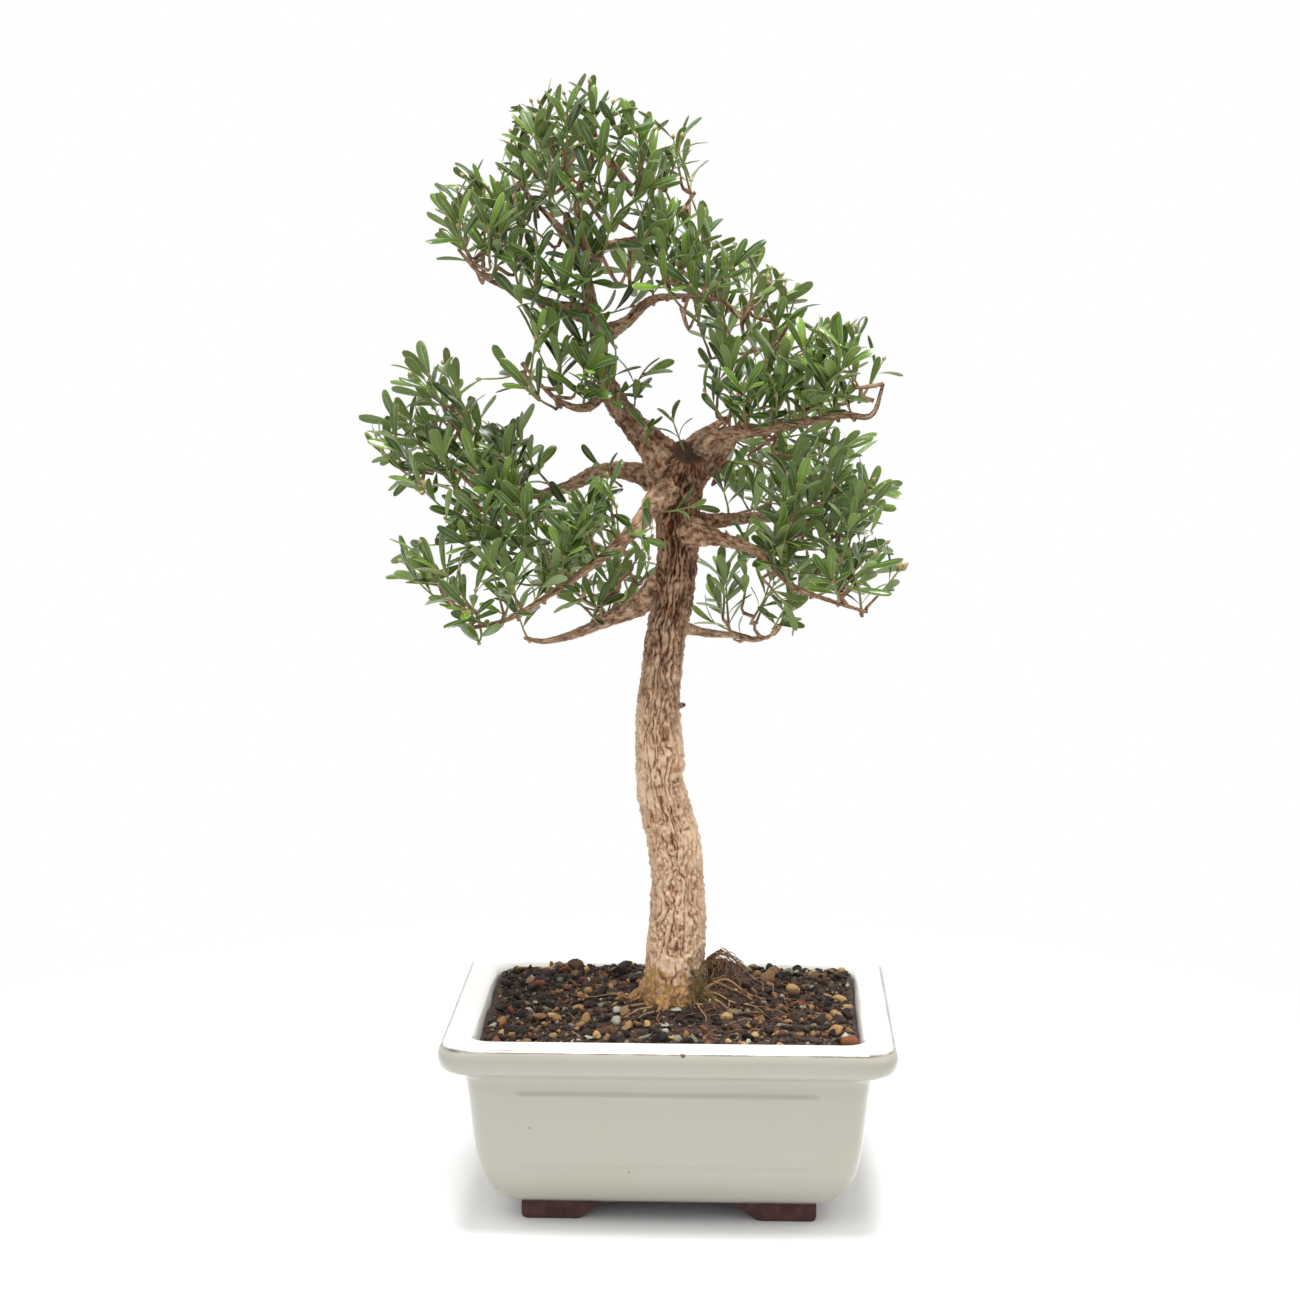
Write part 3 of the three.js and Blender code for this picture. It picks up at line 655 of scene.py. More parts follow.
@dataclass
class Cast:
    """Gathers patches of points and faces, and makes one mesh object of them."""

    points: list[Array] = field(default_factory=list)
    faces: list[Array] = field(default_factory=list)
    slots: list[Array] = field(default_factory=list)
    notes: dict[str, list[Array]] = field(default_factory=dict)
    count: int = 0

    def add(self, points: Array, faces: Sequence[Array], slot: int = 0, **notes: Array) -> None:
        """Adds a patch.

        Args:
            points: One row of three numbers a point, in millimetres.
            faces: Arrays of quads or triangles, numbered from the patch's first point.
            slot: Which of the object's materials the faces take.
            notes: Three numbers a point, under the name that the material reads.
        """
        for block in faces:
            self.faces.append(np.asarray(block) + self.count)
            self.slots.append(np.full(len(block), slot))
        self.points.append(points)
        for name in set(self.notes) | set(notes):
            kept = self.notes.setdefault(name, [np.zeros((self.count, 3))] if self.count else [])
            kept.append(notes.get(name, np.zeros((len(points), 3))))
        self.count += len(points)

    def skin(self, rings: Array, slot: int = 0, **notes: Array | Triple | float) -> None:
        """Adds quads between closed rings of points.

        Args:
            rings: Three numbers for each ring and each place round it, in millimetres.
            slot: Which of the object's materials the faces take.
            notes: The same for what the material reads, or one value for all.
        """
        flat = {name: np.broadcast_to(note, rings.shape).reshape(-1, 3) for name, note in notes.items()}
        self.add(rings.reshape(-1, 3), [tube_faces(*rings.shape[:2])], slot, **flat)

    def build(self, name: str, materials: Sequence[Material], sharp_deg: float = 55) -> Piece:
        """Makes the object.

        Args:
            name: The piece's name.
            materials: Its materials, by slot.
            sharp_deg: Edges sharper than this stay crisp. Zero makes every face flat.

        Returns:
            The object, in metres.
        """
        mesh = bpy.data.meshes.new(name)
        points = np.vstack(self.points) * MM
        mesh.vertices.add(len(points))
        mesh.vertices.foreach_set("co", points.astype(np.float32).ravel())
        corners = np.concatenate([block.ravel() for block in self.faces])
        totals = np.concatenate([np.full(len(block), block.shape[1]) for block in self.faces])
        mesh.loops.add(len(corners))
        mesh.loops.foreach_set("vertex_index", corners.astype(np.int32))
        mesh.polygons.add(len(totals))
        mesh.polygons.foreach_set("loop_start", (np.cumsum(totals) - totals).astype(np.int32))
        mesh.polygons.foreach_set("material_index", np.concatenate(self.slots).astype(np.int32))
        mesh.update(calc_edges=True)
        mesh.validate()
        for note, blocks in self.notes.items():
            layer = mesh.attributes.new(note, "FLOAT_VECTOR", "POINT")
            layer.data.foreach_set("vector", np.vstack(blocks).astype(np.float32).ravel())
        if sharp_deg:
            mesh.polygons.foreach_set("use_smooth", np.ones(len(mesh.polygons), bool))
            mesh.set_sharp_from_angle(angle=math.radians(sharp_deg))
        for material in materials:
            mesh.materials.append(material)
        return stand(name, mesh)


def tube_faces(rings: int, sides: int) -> Array:
    """Quads between rings of points that each close on themselves."""
    ring, side = np.meshgrid(np.arange(rings - 1), np.arange(sides), indexing="ij")
    first = ring * sides + side
    second = ring * sides + (side + 1) % sides
    return np.stack([first, second, second + sides, first + sides], axis=-1).reshape(-1, 4)


def sheet_faces(rows: int, columns: int) -> Array:
    """Quads of an open grid of points."""
    row, column = np.meshgrid(np.arange(rows - 1), np.arange(columns - 1), indexing="ij")
    first = row * columns + column
    return np.stack([first, first + 1, first + columns + 1, first + columns], axis=-1).reshape(-1, 4)


class Route:
    """A centripetal Catmull-Rom curve through points, measured by its length."""

    MARKS = 200
    NUDGE = 1e-4

    def __init__(self, points: Sequence[Sequence[float]]) -> None:
        """Takes the points that the curve passes."""
        given = np.array(points, float)
        self.last = len(given) - 1
        ends = (2 * given[0] - given[1], 2 * given[-1] - given[-2])
        self.held = np.vstack([ends[0], given, ends[1]])
        self.times = np.linspace(0, 1, self.MARKS + 1)
        steps = norm(np.diff(self.at(self.times), axis=0), axis=1)
        self.passed = np.concatenate([[0], np.cumsum(steps)])
        self.length = float(self.passed[-1])

    def at(self, times: Array) -> Array:
        """The points at those times, from 0 to 1."""
        place = np.clip(np.asarray(times, float), 0, 1) * self.last
        span = np.minimum(place.astype(int), self.last - 1)
        share = (place - span)[:, None]
        before, start, end, after = (self.held[span + i] for i in range(4))
        first, middle, final = (
            np.maximum(np.sqrt(norm(b - a, axis=1)), self.NUDGE)[:, None]
            for a, b in ((before, start), (start, end), (end, after))
        )
        step = (end - start) / middle
        leave = ((start - before) / first - (end - before) / (first + middle) + step) * middle
        arrive = (step - (after - start) / (middle + final) + (after - end) / final) * middle
        square = -3 * start + 3 * end - 2 * leave - arrive
        cube = 2 * start - 2 * end + leave + arrive
        return start + leave * share + square * share**2 + cube * share**3

    def time_of(self, shares: Array) -> Array:
        """The times at those shares of the length."""
        return np.interp(np.asarray(shares, float) * self.length, self.passed, self.times)

    def spaced(self, divisions: int) -> Array:
        """Evenly spaced points."""
        return self.at(self.time_of(np.linspace(0, 1, divisions + 1)))

    def frames(self, shares: Array) -> tuple[Array, Array]:
        """Two directions across the curve at each share, which turn with it as little as they can."""
        times = self.time_of(shares)
        ahead = self.at(np.minimum(times + self.NUDGE, 1)) - self.at(np.maximum(times - self.NUDGE, 0))
        tangents = ahead / norm(ahead, axis=1)[:, None]
        start = np.zeros(3)
        sizes = np.abs(tangents[0])
        start[2 - int(np.argmin(sizes[::-1]))] = 1
        normal = np.cross(tangents[0], unit(np.cross(tangents[0], start)))
        normals = [normal]
        for tangent in tangents[1:]:
            normal = unit(normal - tangent * (normal @ tangent))
            normals.append(normal)
        across = np.array(normals)
        return across, np.cross(tangents, across)


def circle(sides: int) -> Array:
    """Even turns round a circle."""
    return np.linspace(0, FULL_TURN, sides, endpoint=False)


def rings_round(route: Route, shares: Array, radii: Array, sides: int) -> Array:
    """Rings of points at those shares of a route, with a radius for each ring or each point."""
    middles = route.at(route.time_of(shares))
    normals, binormals = route.frames(shares)
    turns = circle(sides)[None, :, None]
    around = np.cos(turns) * normals[:, None, :] + np.sin(turns) * binormals[:, None, :]
    return middles[:, None, :] + around * radii[..., None]


def tube(route: Route, radii: Array, sides: int) -> Array:
    """Rings of a plain tube along a route, evenly spaced, with one radius each."""
    return rings_round(route, np.linspace(0, 1, len(radii)), radii[:, None], sides)


# The tree as its maker drew it

TREE_AT = np.array([1.2, 0.0, 4.0])
CROWN_HEART = (-10, 0, 425)
LIMB_STEP = 20
SHOOT_LENGTH = 23
SHOOT_RADIUS = 1
SHOOT_GAP = 0.5
SHOOT_STRAY = 0.2
SHOOT_STRAY_PER_ATTEMPT = 0.15
SHOOT_ATTEMPTS = 10
PAIRS_PER_SHOOT = 3
LEAF_LENGTH = 24
LEAF_WIDTH = 7.8
LEAF_THICKNESS = 0.7
LEAF_ARCH = 1.6
LEAF_LEAN = 1.02
LEAF_LEAN_PER_PAIR = 0.16
LEAF_TWISTS = (0, 0.3, -0.3, 0.6, -0.6, 0.9, -0.9)

TRUNK: tuple[Row, ...] = (
    (-1, 0, 58, 8), (-1, 0, 84, 11), (0, -1, 96, 16.5), (1, 0, 110, 18), (1, 1, 128, 16.4),
    (2, 2, 155, 14.8), (0, 2, 189, 13.6), (-5, 1, 210, 13.2), (-8, 0, 225, 12), (-8, -1, 240, 12.8),
    (-9, -2, 260, 12), (-7, -2, 286, 11.4), (-4, -1, 308, 11.4), (0, 0, 330, 10.8), (2, 1, 352, 10.8),
    (2, 0, 376, 11.8), (4, -2, 392, 12.6), (7, -6, 403, 9.4),
)

LIMBS: dict[str, tuple[Row, ...]] = {
    "leader": (
        (0, 0, 384, 9), (-8, 2, 402, 8.2), (-21, 4, 416, 7), (-33, 4, 432, 6.4), (-39, 2, 448, 5.8),
        (-41, -1, 466, 5.3), (-46, -3, 490, 4.9), (-49, -1, 514, 4.5), (-51, 3, 538, 3.8),
        (-45, 5, 556, 2.4), (-40, 4, 568, 1.6),
    ),
    "left_upper": (
        (0, 4, 381, 6.5), (-21, 15, 391, 5), (-41, 25, 391, 4.3), (-62, 34, 381, 3.8), (-88, 38, 376, 2.8),
        (-112, 36, 384, 2.2), (-128, 30, 396, 1.6),
    ),
    "left_front": (
        (0, -4, 388, 7), (-10, -24, 378, 5.4), (-20, -43, 366, 4.2), (-38, -60, 352, 3.2),
        (-62, -74, 336, 2.6), (-84, -82, 324, 2.1), (-104, -84, 320, 1.6),
    ),
    "left_low": (
        (-3, 2, 334, 7), (-23, 16, 317, 5.8), (-38, 30, 309, 4.8), (-56, 44, 299, 3.7),
        (-76, 54, 293, 2.6), (-86, 60, 294, 1.8),
    ),
    "right_upper": (
        (5, -2, 402, 7), (22, -12, 412, 4.8), (44, -26, 417, 3.4), (68, -36, 422, 3), (88, -42, 426, 3.3),
        (102, -44, 426, 2.4), (108, -45, 442, 1.5),
    ),
    "right_fork": (
        (6, 2, 386, 5.5), (22, 10, 398, 3.4), (34, 18, 415, 2.6), (42, 22, 436, 2.2), (52, 20, 456, 1.8),
        (60, 14, 470, 1.5),
    ),
    "right_back": (
        (4, 4, 364, 6), (29, 36, 364, 4), (50, 56, 363, 3.7), (72, 70, 359, 3), (92, 78, 361, 2),
        (104, 80, 368, 1.5),
    ),
    "right_low": (
        (5, -3, 362, 6.4), (26, -20, 359, 3.8), (46, -34, 353, 2.6), (62, -44, 338, 2.1),
        (82, -52, 331, 1.8), (100, -56, 326, 1.5),
    ),
    "back_low": (
        (-3, 3, 312, 4), (14, 26, 303, 2.6), (30, 42, 299, 2.3), (44, 56, 294, 1.8), (54, 66, 296, 1.4),
    ),
    "back": (
        (2, 2, 398, 5.5), (10, 24, 408, 3.8), (20, 46, 414, 3), (30, 66, 420, 2.2), (36, 82, 432, 1.5),
    ),
    "top_right": (
        (-41, -1, 464, 4.6), (-26, -4, 472, 3.2), (-12, -12, 484, 2.8), (8, -18, 486, 2.2),
        (26, -22, 484, 1.5),
    ),
    "top_left": (
        (-46, -2, 476, 4), (-64, -8, 482, 2.6), (-82, -14, 488, 2.1), (-100, -20, 497, 1.8),
        (-112, -22, 510, 1.4),
    ),
    "crown_left": (
        (-49, -2, 502, 3.2), (-58, 6, 516, 2.4), (-70, 12, 530, 1.8), (-84, 16, 545, 1.4),
    ),
    "crown_right": (
        (-49, 0, 510, 3.2), (-28, 10, 514, 2.4), (-4, 16, 522, 1.8), (10, 18, 540, 1.4),
    ),
    "mid_left": (
        (-36, 2, 438, 3.6), (-46, -12, 428, 2.6), (-58, -26, 431, 2), (-70, -34, 442, 1.7),
        (-78, -36, 452, 1.4),
    ),
}

SHOOT_MIDDLES: tuple[tuple[int, int, int], ...] = (
    (-54, 6, 570), (-29, -14, 563), (-67, -12, 560), (-40, -30, 553), (-11, 2, 554), (-17, -24, 540),
    (-56, 44, 539), (7, 38, 539), (-31, -38, 524), (-6, -32, 516), (-79, 32, 534), (14, -14, 510),
    (0, -38, 486), (-106, -26, 506), (-99, -4, 528), (-95, -32, 509), (-82, -14, 493), (-61, -22, 481),
    (-80, -32, 447), (-49, -36, 439), (-24, 36, 495), (21, 20, 483), (47, 4, 488), (57, 26, 463),
    (92, -42, 447), (56, -32, 448), (30, -26, 439), (80, -46, 437), (43, 58, 452), (27, 88, 445),
    (67, 42, 407), (91, 62, 385), (37, 66, 401), (101, 70, 369), (58, 26, 376), (83, -22, 369),
    (98, -50, 347), (91, -62, 339), (48, -36, 354), (48, 62, 313), (69, -24, 341), (-147, 24, 410),
    (-135, 18, 441), (-110, 50, 414), (-137, 6, 392), (-109, -8, 399), (-92, 56, 403), (-112, -34, 369),
    (-81, -12, 379), (-122, -70, 344), (-107, -82, 339), (-82, -56, 356), (-47, -42, 370), (-58, 34, 324),
    (-36, 48, 329),
)


# Places seen from the camera

PADS: dict[str, tuple[Point2, ...]] = {
    "top": (
        (-91, 528), (-92, 541), (-90, 562), (-86, 576), (-76, 582), (-68, 591), (-54, 594), (-45, 596),
        (-38, 585), (-28, 583), (-18, 576), (-7, 575), (-9, 567), (-2, 562), (7, 575), (14, 578),
        (24, 583), (19, 567), (13, 556), (21, 550), (12, 541), (14, 533), (29, 529), (16, 521), (19, 515),
        (13, 504), (8, 488), (-8, 486), (-24, 484), (-40, 488), (-44, 504), (-48, 515), (-61, 523),
        (-76, 524),
    ),
    "upper_left": (
        (-137, 520), (-127, 517), (-123, 528), (-126, 534), (-119, 543), (-112, 546), (-103, 552),
        (-98, 541), (-94, 544), (-92, 537), (-84, 529), (-77, 517), (-61, 523), (-48, 515), (-45, 489),
        (-61, 484), (-77, 483), (-93, 488), (-108, 496), (-120, 500), (-119, 510), (-124, 514),
    ),
    "leader_front": (
        (-61, 499), (-40, 504), (-33, 484), (-37, 463), (-29, 446), (-61, 446), (-72, 460), (-82, 468),
        (-90, 474), (-77, 484),
    ),
    "middle": (
        (-98, 456), (-85, 452), (-69, 446), (-56, 446), (-40, 456), (-19, 443), (3, 463), (8, 456),
        (-13, 435), (-17, 430), (-19, 426), (-40, 419), (-61, 425), (-77, 432), (-90, 435), (-94, 446),
    ),
    "right": (
        (3, 474), (9, 484), (16, 504), (25, 510), (37, 512), (45, 504), (54, 501), (60, 489), (67, 488),
        (72, 479), (82, 474), (90, 474), (99, 468), (109, 458), (99, 449), (114, 446), (122, 441),
        (103, 436), (96, 426), (82, 421), (66, 419), (51, 410), (32, 412), (20, 421), (13, 431), (8, 446),
        (-4, 453), (8, 463),
    ),
    "right_middle": (
        (20, 410), (35, 414), (61, 410), (82, 415), (90, 409), (104, 414), (93, 402), (91, 394),
        (100, 394), (99, 384), (109, 386), (115, 387), (107, 378), (112, 368), (102, 361), (91, 368),
        (67, 372), (46, 373), (32, 378), (20, 385), (16, 399),
    ),
    "right_low": (
        (32, 367), (61, 378), (94, 368), (107, 354), (119, 354), (116, 335), (126, 333), (110, 319),
        (97, 320), (81, 330), (65, 324), (62, 314), (46, 309), (30, 313), (22, 321), (32, 330), (24, 346),
        (14, 356),
    ),
    "left": (
        (-166, 413), (-155, 414), (-152, 424), (-142, 430), (-152, 444), (-140, 449), (-131, 441),
        (-121, 454), (-114, 451), (-113, 431), (-106, 429), (-109, 415), (-93, 415), (-84, 420),
        (-69, 404), (-68, 388), (-61, 378), (-72, 367), (-94, 372), (-110, 377), (-126, 383), (-147, 377),
        (-149, 388), (-142, 393), (-158, 399), (-160, 406),
    ),
    "left_low": (
        (-126, 375), (-110, 377), (-83, 375), (-61, 378), (-53, 378), (-40, 388), (-29, 394), (-36, 378),
        (-27, 367), (-40, 362), (-45, 345), (-56, 335), (-70, 324), (-83, 313), (-94, 324), (-105, 323),
        (-99, 334), (-115, 345), (-121, 353), (-127, 353), (-121, 367),
    ),
    "left_tip": (
        (-145, 353), (-133, 356), (-132, 337), (-121, 340), (-113, 329), (-110, 323), (-94, 328),
        (-83, 324), (-70, 318), (-73, 310), (-94, 310), (-105, 302), (-121, 310), (-132, 317), (-126, 329),
        (-137, 334), (-155, 331), (-148, 340),
    ),
    "back_left": (
        (-62, 345), (-40, 352), (-29, 362), (-13, 375), (-11, 346), (-13, 313), (-29, 308), (-46, 313),
        (-62, 324),
    ),
    "back_right": (
        (14, 351), (27, 354), (38, 340), (62, 330), (67, 314), (59, 302), (35, 302), (14, 313), (14, 330),
    ),
}

PAD_DEPTHS: dict[str, Point2] = {
    "top": (-35, 45), "upper_left": (-30, 20), "leader_front": (-30, 20), "middle": (-35, 30),
    "right": (-45, 45), "right_middle": (-50, 75), "right_low": (-60, 60), "left": (-40, 60),
    "left_low": (-75, 40), "left_tip": (-85, -50), "back_left": (30, 65), "back_right": (20, 70),
}


# Marks placed by their pixel in the photograph, and depths behind the trunk's sheet in millimetres

PINHOLE_PX = (683, 1056)
CHIP_PX = (447, 1057)
FRONT_FACE_DEPTH = -93.5
PEBBLE_PX = (850, 1034)
PEBBLE_FROM_FRONT = 30
SNAG_PX = (684, 705)
SNAG_DEPTH = -17
BUD_CLUSTERS_PX = ((505, 265), (690, 265), (775, 290), (890, 575), (420, 487))
SPRIGS_PX = ((646, 438, -10), (675, 428, -4), (686, 512, -19), (606, 474, 2))

# Limbs that start deeper in the trunk here, and the stretch and number of the shoots that cover a limb

LIMB_STARTS: dict[str, Row] = {"right_upper": (13, 4, 400, 4.4), "left_front": (0, -3, 386, 5)}
COVERED: dict[str, tuple[float, float, int]] = {
    "left_front": (0.34, 0.98, 13),
    "right_upper": (0.26, 0.92, 11),
    "right_low": (0.34, 0.98, 7),
    "right_back": (0.3, 0.9, 5),
    "left_upper": (0.45, 0.95, 5),
    "left_low": (0.5, 0.98, 5),
    "mid_left": (0.25, 0.9, 3),
    "leader": (0.22, 0.6, 6),
    "top_right": (0.5, 0.98, 5),
}
FURTHER_KEYS = 100
FLARE_KEYS = 80
SNAG_KEY = 72
TWIG_KEYS = 200
SPRIG_KEYS = 9000
COVER_KEYS = 9100


@dataclass(frozen=True)
class Sight:
    """The camera's place and reach, in the tree's own frame."""

    focal_px: float = 2616
    picture_px: float = 1300
    sensor_mm: float = 36
    turn_deg: float = 2.2
    down_deg: float = 8.74
    away: float = 1393
    height: float = 511
    aside: float = -13.2

    def axes(self) -> tuple[Array, Array, Array]:
        """Right, up and forward."""
        turn, down = math.radians(self.turn_deg), math.radians(self.down_deg)
        ahead = np.array([-math.sin(turn) * math.cos(down), math.cos(turn) * math.cos(down), -math.sin(down)])
        right = np.array([math.cos(turn), math.sin(turn), 0.0])
        return right, np.cross(right, ahead), ahead

    def eye(self) -> Array:
        """Where the camera is."""
        turn = math.radians(self.turn_deg)
        back = np.array([math.sin(turn) * self.away, -math.cos(turn) * self.away, self.height])
        return back + self.aside * self.axes()[0]

    def on_sheet(self, point: Array) -> Point2:
        """Where the line of sight through a point crosses the upright sheet through the trunk."""
        eye = self.eye()
        hit = eye + (point - eye) * (-eye[1] / (point[1] - eye[1]))
        return float(hit[0]), float(hit[2])

    def place(self, right_px: float, down_px: float, depth: float) -> Array:
        """The point at that depth behind the sheet that shows at that place of the picture."""
        right, up, ahead = self.axes()
        middle = self.picture_px / 2
        ray = ahead + right * (right_px - middle) / self.focal_px + up * (middle - down_px) / self.focal_px
        eye = self.eye()
        return eye + ray * (depth - eye[1]) / ray[1]

    def pixel(self, point: Array) -> Point2:
        """Where a point shows in the picture."""
        right, up, ahead = self.axes()
        away = point - self.eye()
        depth = float(away @ ahead)
        middle = self.picture_px / 2
        aside, above = float(away @ right), float(away @ up)
        return middle + self.focal_px * aside / depth, middle - self.focal_px * above / depth

    def in_pads(self, point: Array) -> bool:
        """Whether a point shows inside the crown's outline."""
        x, z = self.on_sheet(point)
        return any(inside(outline, x, z) for outline in PADS.values())

    def camera(self, shift: Array) -> Piece:
        """The camera object."""
        data = bpy.data.cameras.new("photo_camera")
        data.sensor_width = self.sensor_mm
        data.lens = self.sensor_mm * self.focal_px / self.picture_px
        made = stand("photo_camera", data)
        right, up, ahead = self.axes()
        made.matrix_world = looking(right, up, ahead, (self.eye() + shift) * MM)
        bpy.context.scene.camera = made
        return made


# Pot

@dataclass
class Pot:
    """Rounded rectangular bowl with a flared lip, a raised panel on each side and four bracket feet."""

    centre: Array
    width: float = 240
    depth: float = 190
    corner: float = 16
    outside: tuple[Point2, ...] = (
        (41, 10.5), (36, 12), (30, 15.5), (25.5, 20.5), (22, 27), (19.4, 35), (17.4, 46.5), (15.8, 61.5),
        (14.2, 76.5), (12.4, 86.5), (9.4, 89), (4.5, 90.5), (1.3, 93), (0, 98), (0.8, 103), (3.6, 105.6),
    )
    inside: tuple[Point2, ...] = (
        (15.5, 106), (18, 103.5), (22.5, 61.5), (26.5, 36.5), (33, 24.5), (42, 18.5),
    )
    panel_widths: Point2 = (160, 110)
    panel_foot: float = 36
    panel_height: float = 44
    panel_relief: float = 0.8
    panel_bevel: float = 3.0
    panel_corner: float = 3
    side_steps: tuple[int, int] = (45, 37)
    corner_steps: int = 11
    outside_step: float = 1.0
    inside_step: float = 2.6
    lip_line: Point2 = (1.9, 104.7)
    pool_height: float = 87.5
    lip_line_width: float = 0.75
    pool_reach: float = 3
    corner_narrowing: float = 0.22
    least_corner: float = 6
    hole_radius: float = 8
    hole_x: float = 48
    hole_sides: int = 32
    foot_reaches: Point2 = (51, 36)
    foot_curl: float = 22
    foot_thickness: float = 15
    foot_height: float = 10.5
    foot_inset: float = 41
    foot_tuck: float = 0.25
    foot_soft: float = 0.7

    def profile(self) -> Array:
        """Rounded rows of inset and height from the underside over the lip to the inner floor."""
        rows = [(inset, height, 0) for inset, height in (*self.outside, *self.inside)]
        route = Route(rows)
        marks = np.linspace(0, 1, len(rows))
        lip = float(np.interp(marks[len(self.outside)], route.times, route.passed)) / route.length
        outer = np.linspace(0, lip, round(route.length * lip / self.outside_step))
        inner = np.linspace(lip, 1, round(route.length * (1 - lip) / self.inside_step))
        return route.at(route.time_of(np.concatenate([outer, inner[1:]])))[:, :2]

    def wall(self, insets: Array, heights: Array, relief: bool = False) -> Array:
        """Rings of points round the pot.

        Args:
            insets: How far each ring lies inside the rim's rectangle.
            heights: Each ring's height.
            relief: Whether the panels stand out.

        Returns:
            The points, by ring and place round it, from the middle of the pot.
        """
        corner = np.maximum(self.least_corner, self.corner - self.corner_narrowing * insets)[:, None]
        blocks = []
        for face in range(4):
            long = face % 2 == 0
            half, out = (self.width / 2, self.depth / 2) if long else (self.depth / 2, self.width / 2)
            half, out = half - insets[:, None], out - insets[:, None]
            shares = np.linspace(-1, 1, self.side_steps[face % 2])
            third = len(half) // 3
            edge = self.panel_widths[face % 2] / (2 * (half[third] - corner[third]))
            extra = edge + np.linspace(-0.035, 0.012, 6)
            shares = np.unique(np.concatenate([shares, extra, -extra]))[None, :]
            along = shares * (half - corner)
            away = np.repeat(out, shares.shape[1], axis=1)
            if relief:
                away = away + self.panel_relief * self.panel_share(along, heights[:, None], face % 2)
            bend = np.linspace(0, math.pi / 2, self.corner_steps + 2)[None, 1:-1]
            along = np.hstack([along, half - corner + corner * np.sin(bend)])
            away = np.hstack([away, out - corner + corner * np.cos(bend)])
            x, y = along, -away
            for _ in range(face):
                x, y = -y, x
            blocks.append(np.stack([x, y], axis=-1))
        flat = np.concatenate(blocks, axis=1)
        high = np.repeat(heights[:, None], flat.shape[1], axis=1)[..., None]
        return np.concatenate([flat, high], axis=-1)

    def panel_share(self, along: Array, heights: Array, kind: int) -> Array:
        """How much of the panel's relief each place of a side has."""
        high = self.panel_height / 2
        x = np.abs(along) - self.panel_widths[kind] / 2 + self.panel_corner
        z = np.abs(heights - self.panel_foot - high) - high + self.panel_corner
        out = np.hypot(np.maximum(x, 0), np.maximum(z, 0)) + np.minimum(np.maximum(x, z), 0)
        return ease(0, self.panel_bevel, self.panel_corner - out)

    def hole(self, side: int) -> Array:
        """The x and y round the drain hole on one side."""
        turns = circle(self.hole_sides)
        x = side * self.hole_x + self.hole_radius * np.cos(turns)
        return np.stack([x, self.hole_radius * np.sin(turns)], -1)

    def cap(self, cast: Cast, rim: Array, height: float, up: bool) -> None:
        """Closes a ring with a flat floor round the drain holes."""
        outlines = [rim, self.hole(-1)[::-1], self.hole(1)[::-1]]
        loops = [[(float(x), float(y), height) for x, y in outline[:, :2]] for outline in outlines]
        faces = np.array(tessellate_polygon(loops))
        points = np.array([point for loop in loops for point in loop])
        first, second, third = points[faces[:, 0]], points[faces[:, 1]], points[faces[:, 2]]
        upward = np.cross(second - first, third - first)[:, 2] > 0
        faces = np.where((upward == up)[:, None], faces, faces[:, ::-1])
        cast.add(points + self.centre, [faces])

    def holes(self, cast: Cast) -> None:
        """Adds the walls of the drain holes."""
        ends = (self.inside[-1][1], self.outside[0][1])
        for side in (-1, 1):
            rings = [np.column_stack([self.hole(side), np.full(self.hole_sides, z)]) for z in ends]
            cast.skin(np.stack(rings) + self.centre)

    def foot_outline(self, reach: float) -> list[Point2]:
        """A foot's outline from its outer top round the sole to its curled inner end."""
        sole = reach - self.foot_curl
        high = self.foot_height

        def curl(start: Point2, pull: Point2, end: Point2) -> list[Point2]:
            """Six points of a curve after its start."""
            shares = [i / 6 for i in range(1, 7)]
            return [
                tuple((1 - t) ** 2 * start[i] + 2 * t * (1 - t) * pull[i] + t * t * end[i] for i in (0, 1))
                for t in shares
            ]

        path = [(0.0, high + 3), (0.0, 3.0), *curl((0, 3), (0.4, 0), (3.5, 0)), (sole, 0.0)]
        path += curl((sole, 0), (sole + 4, 0.4), (sole + 7, 4))
        path += curl((sole + 7, 4), (sole + 11, 8), (reach, high))
        return [*path, (reach, high + 3)]

    def feet(self, cast: Cast) -> None:
        """Adds four L-shaped brackets with softened edges."""
        soft, thick = self.foot_soft, self.foot_thickness
        x, y = self.width / 2 - self.foot_inset, self.depth / 2 - self.foot_inset
        for side in (-1, 1):
            for end in (-1, 1):
                corner = np.array([side * x, end * y, 0])
                ways = (np.array([-side, 0, 0]), np.array([0, -end, 0]))
                for arm, reach in enumerate(self.foot_reaches):
                    outline = np.array(self.foot_outline(reach))
                    edge = np.roll(outline, -1, axis=0) - np.roll(outline, 1, axis=0)
                    inward = np.stack([-edge[:, 1], edge[:, 0]], -1) / norm(edge, axis=1)[:, None]
                    rings = []
                    for shrink, depth in ((soft, 0), (0, soft), (0, thick - soft), (soft, thick)):
                        flat = outline + inward * shrink
                        rings.append(flat[:, :1] * ways[arm] + flat[:, 1:] * UP + depth * ways[1 - arm])
                    tuck = (ways[0] + ways[1]) * self.foot_tuck * arm
                    points = np.vstack(rings) + corner + tuck + self.centre
                    faces = tube_faces(4, len(outline))
                    loop = [(float(along), float(up), 0.0) for along, up in outline]
                    caps = np.array(tessellate_polygon([loop]))
                    if np.dot(np.cross(ways[arm], UP), ways[1 - arm]) > 0:
                        faces = faces[:, ::-1]
                    cast.add(points, [faces, caps, caps[:, ::-1] + 3 * len(outline)])

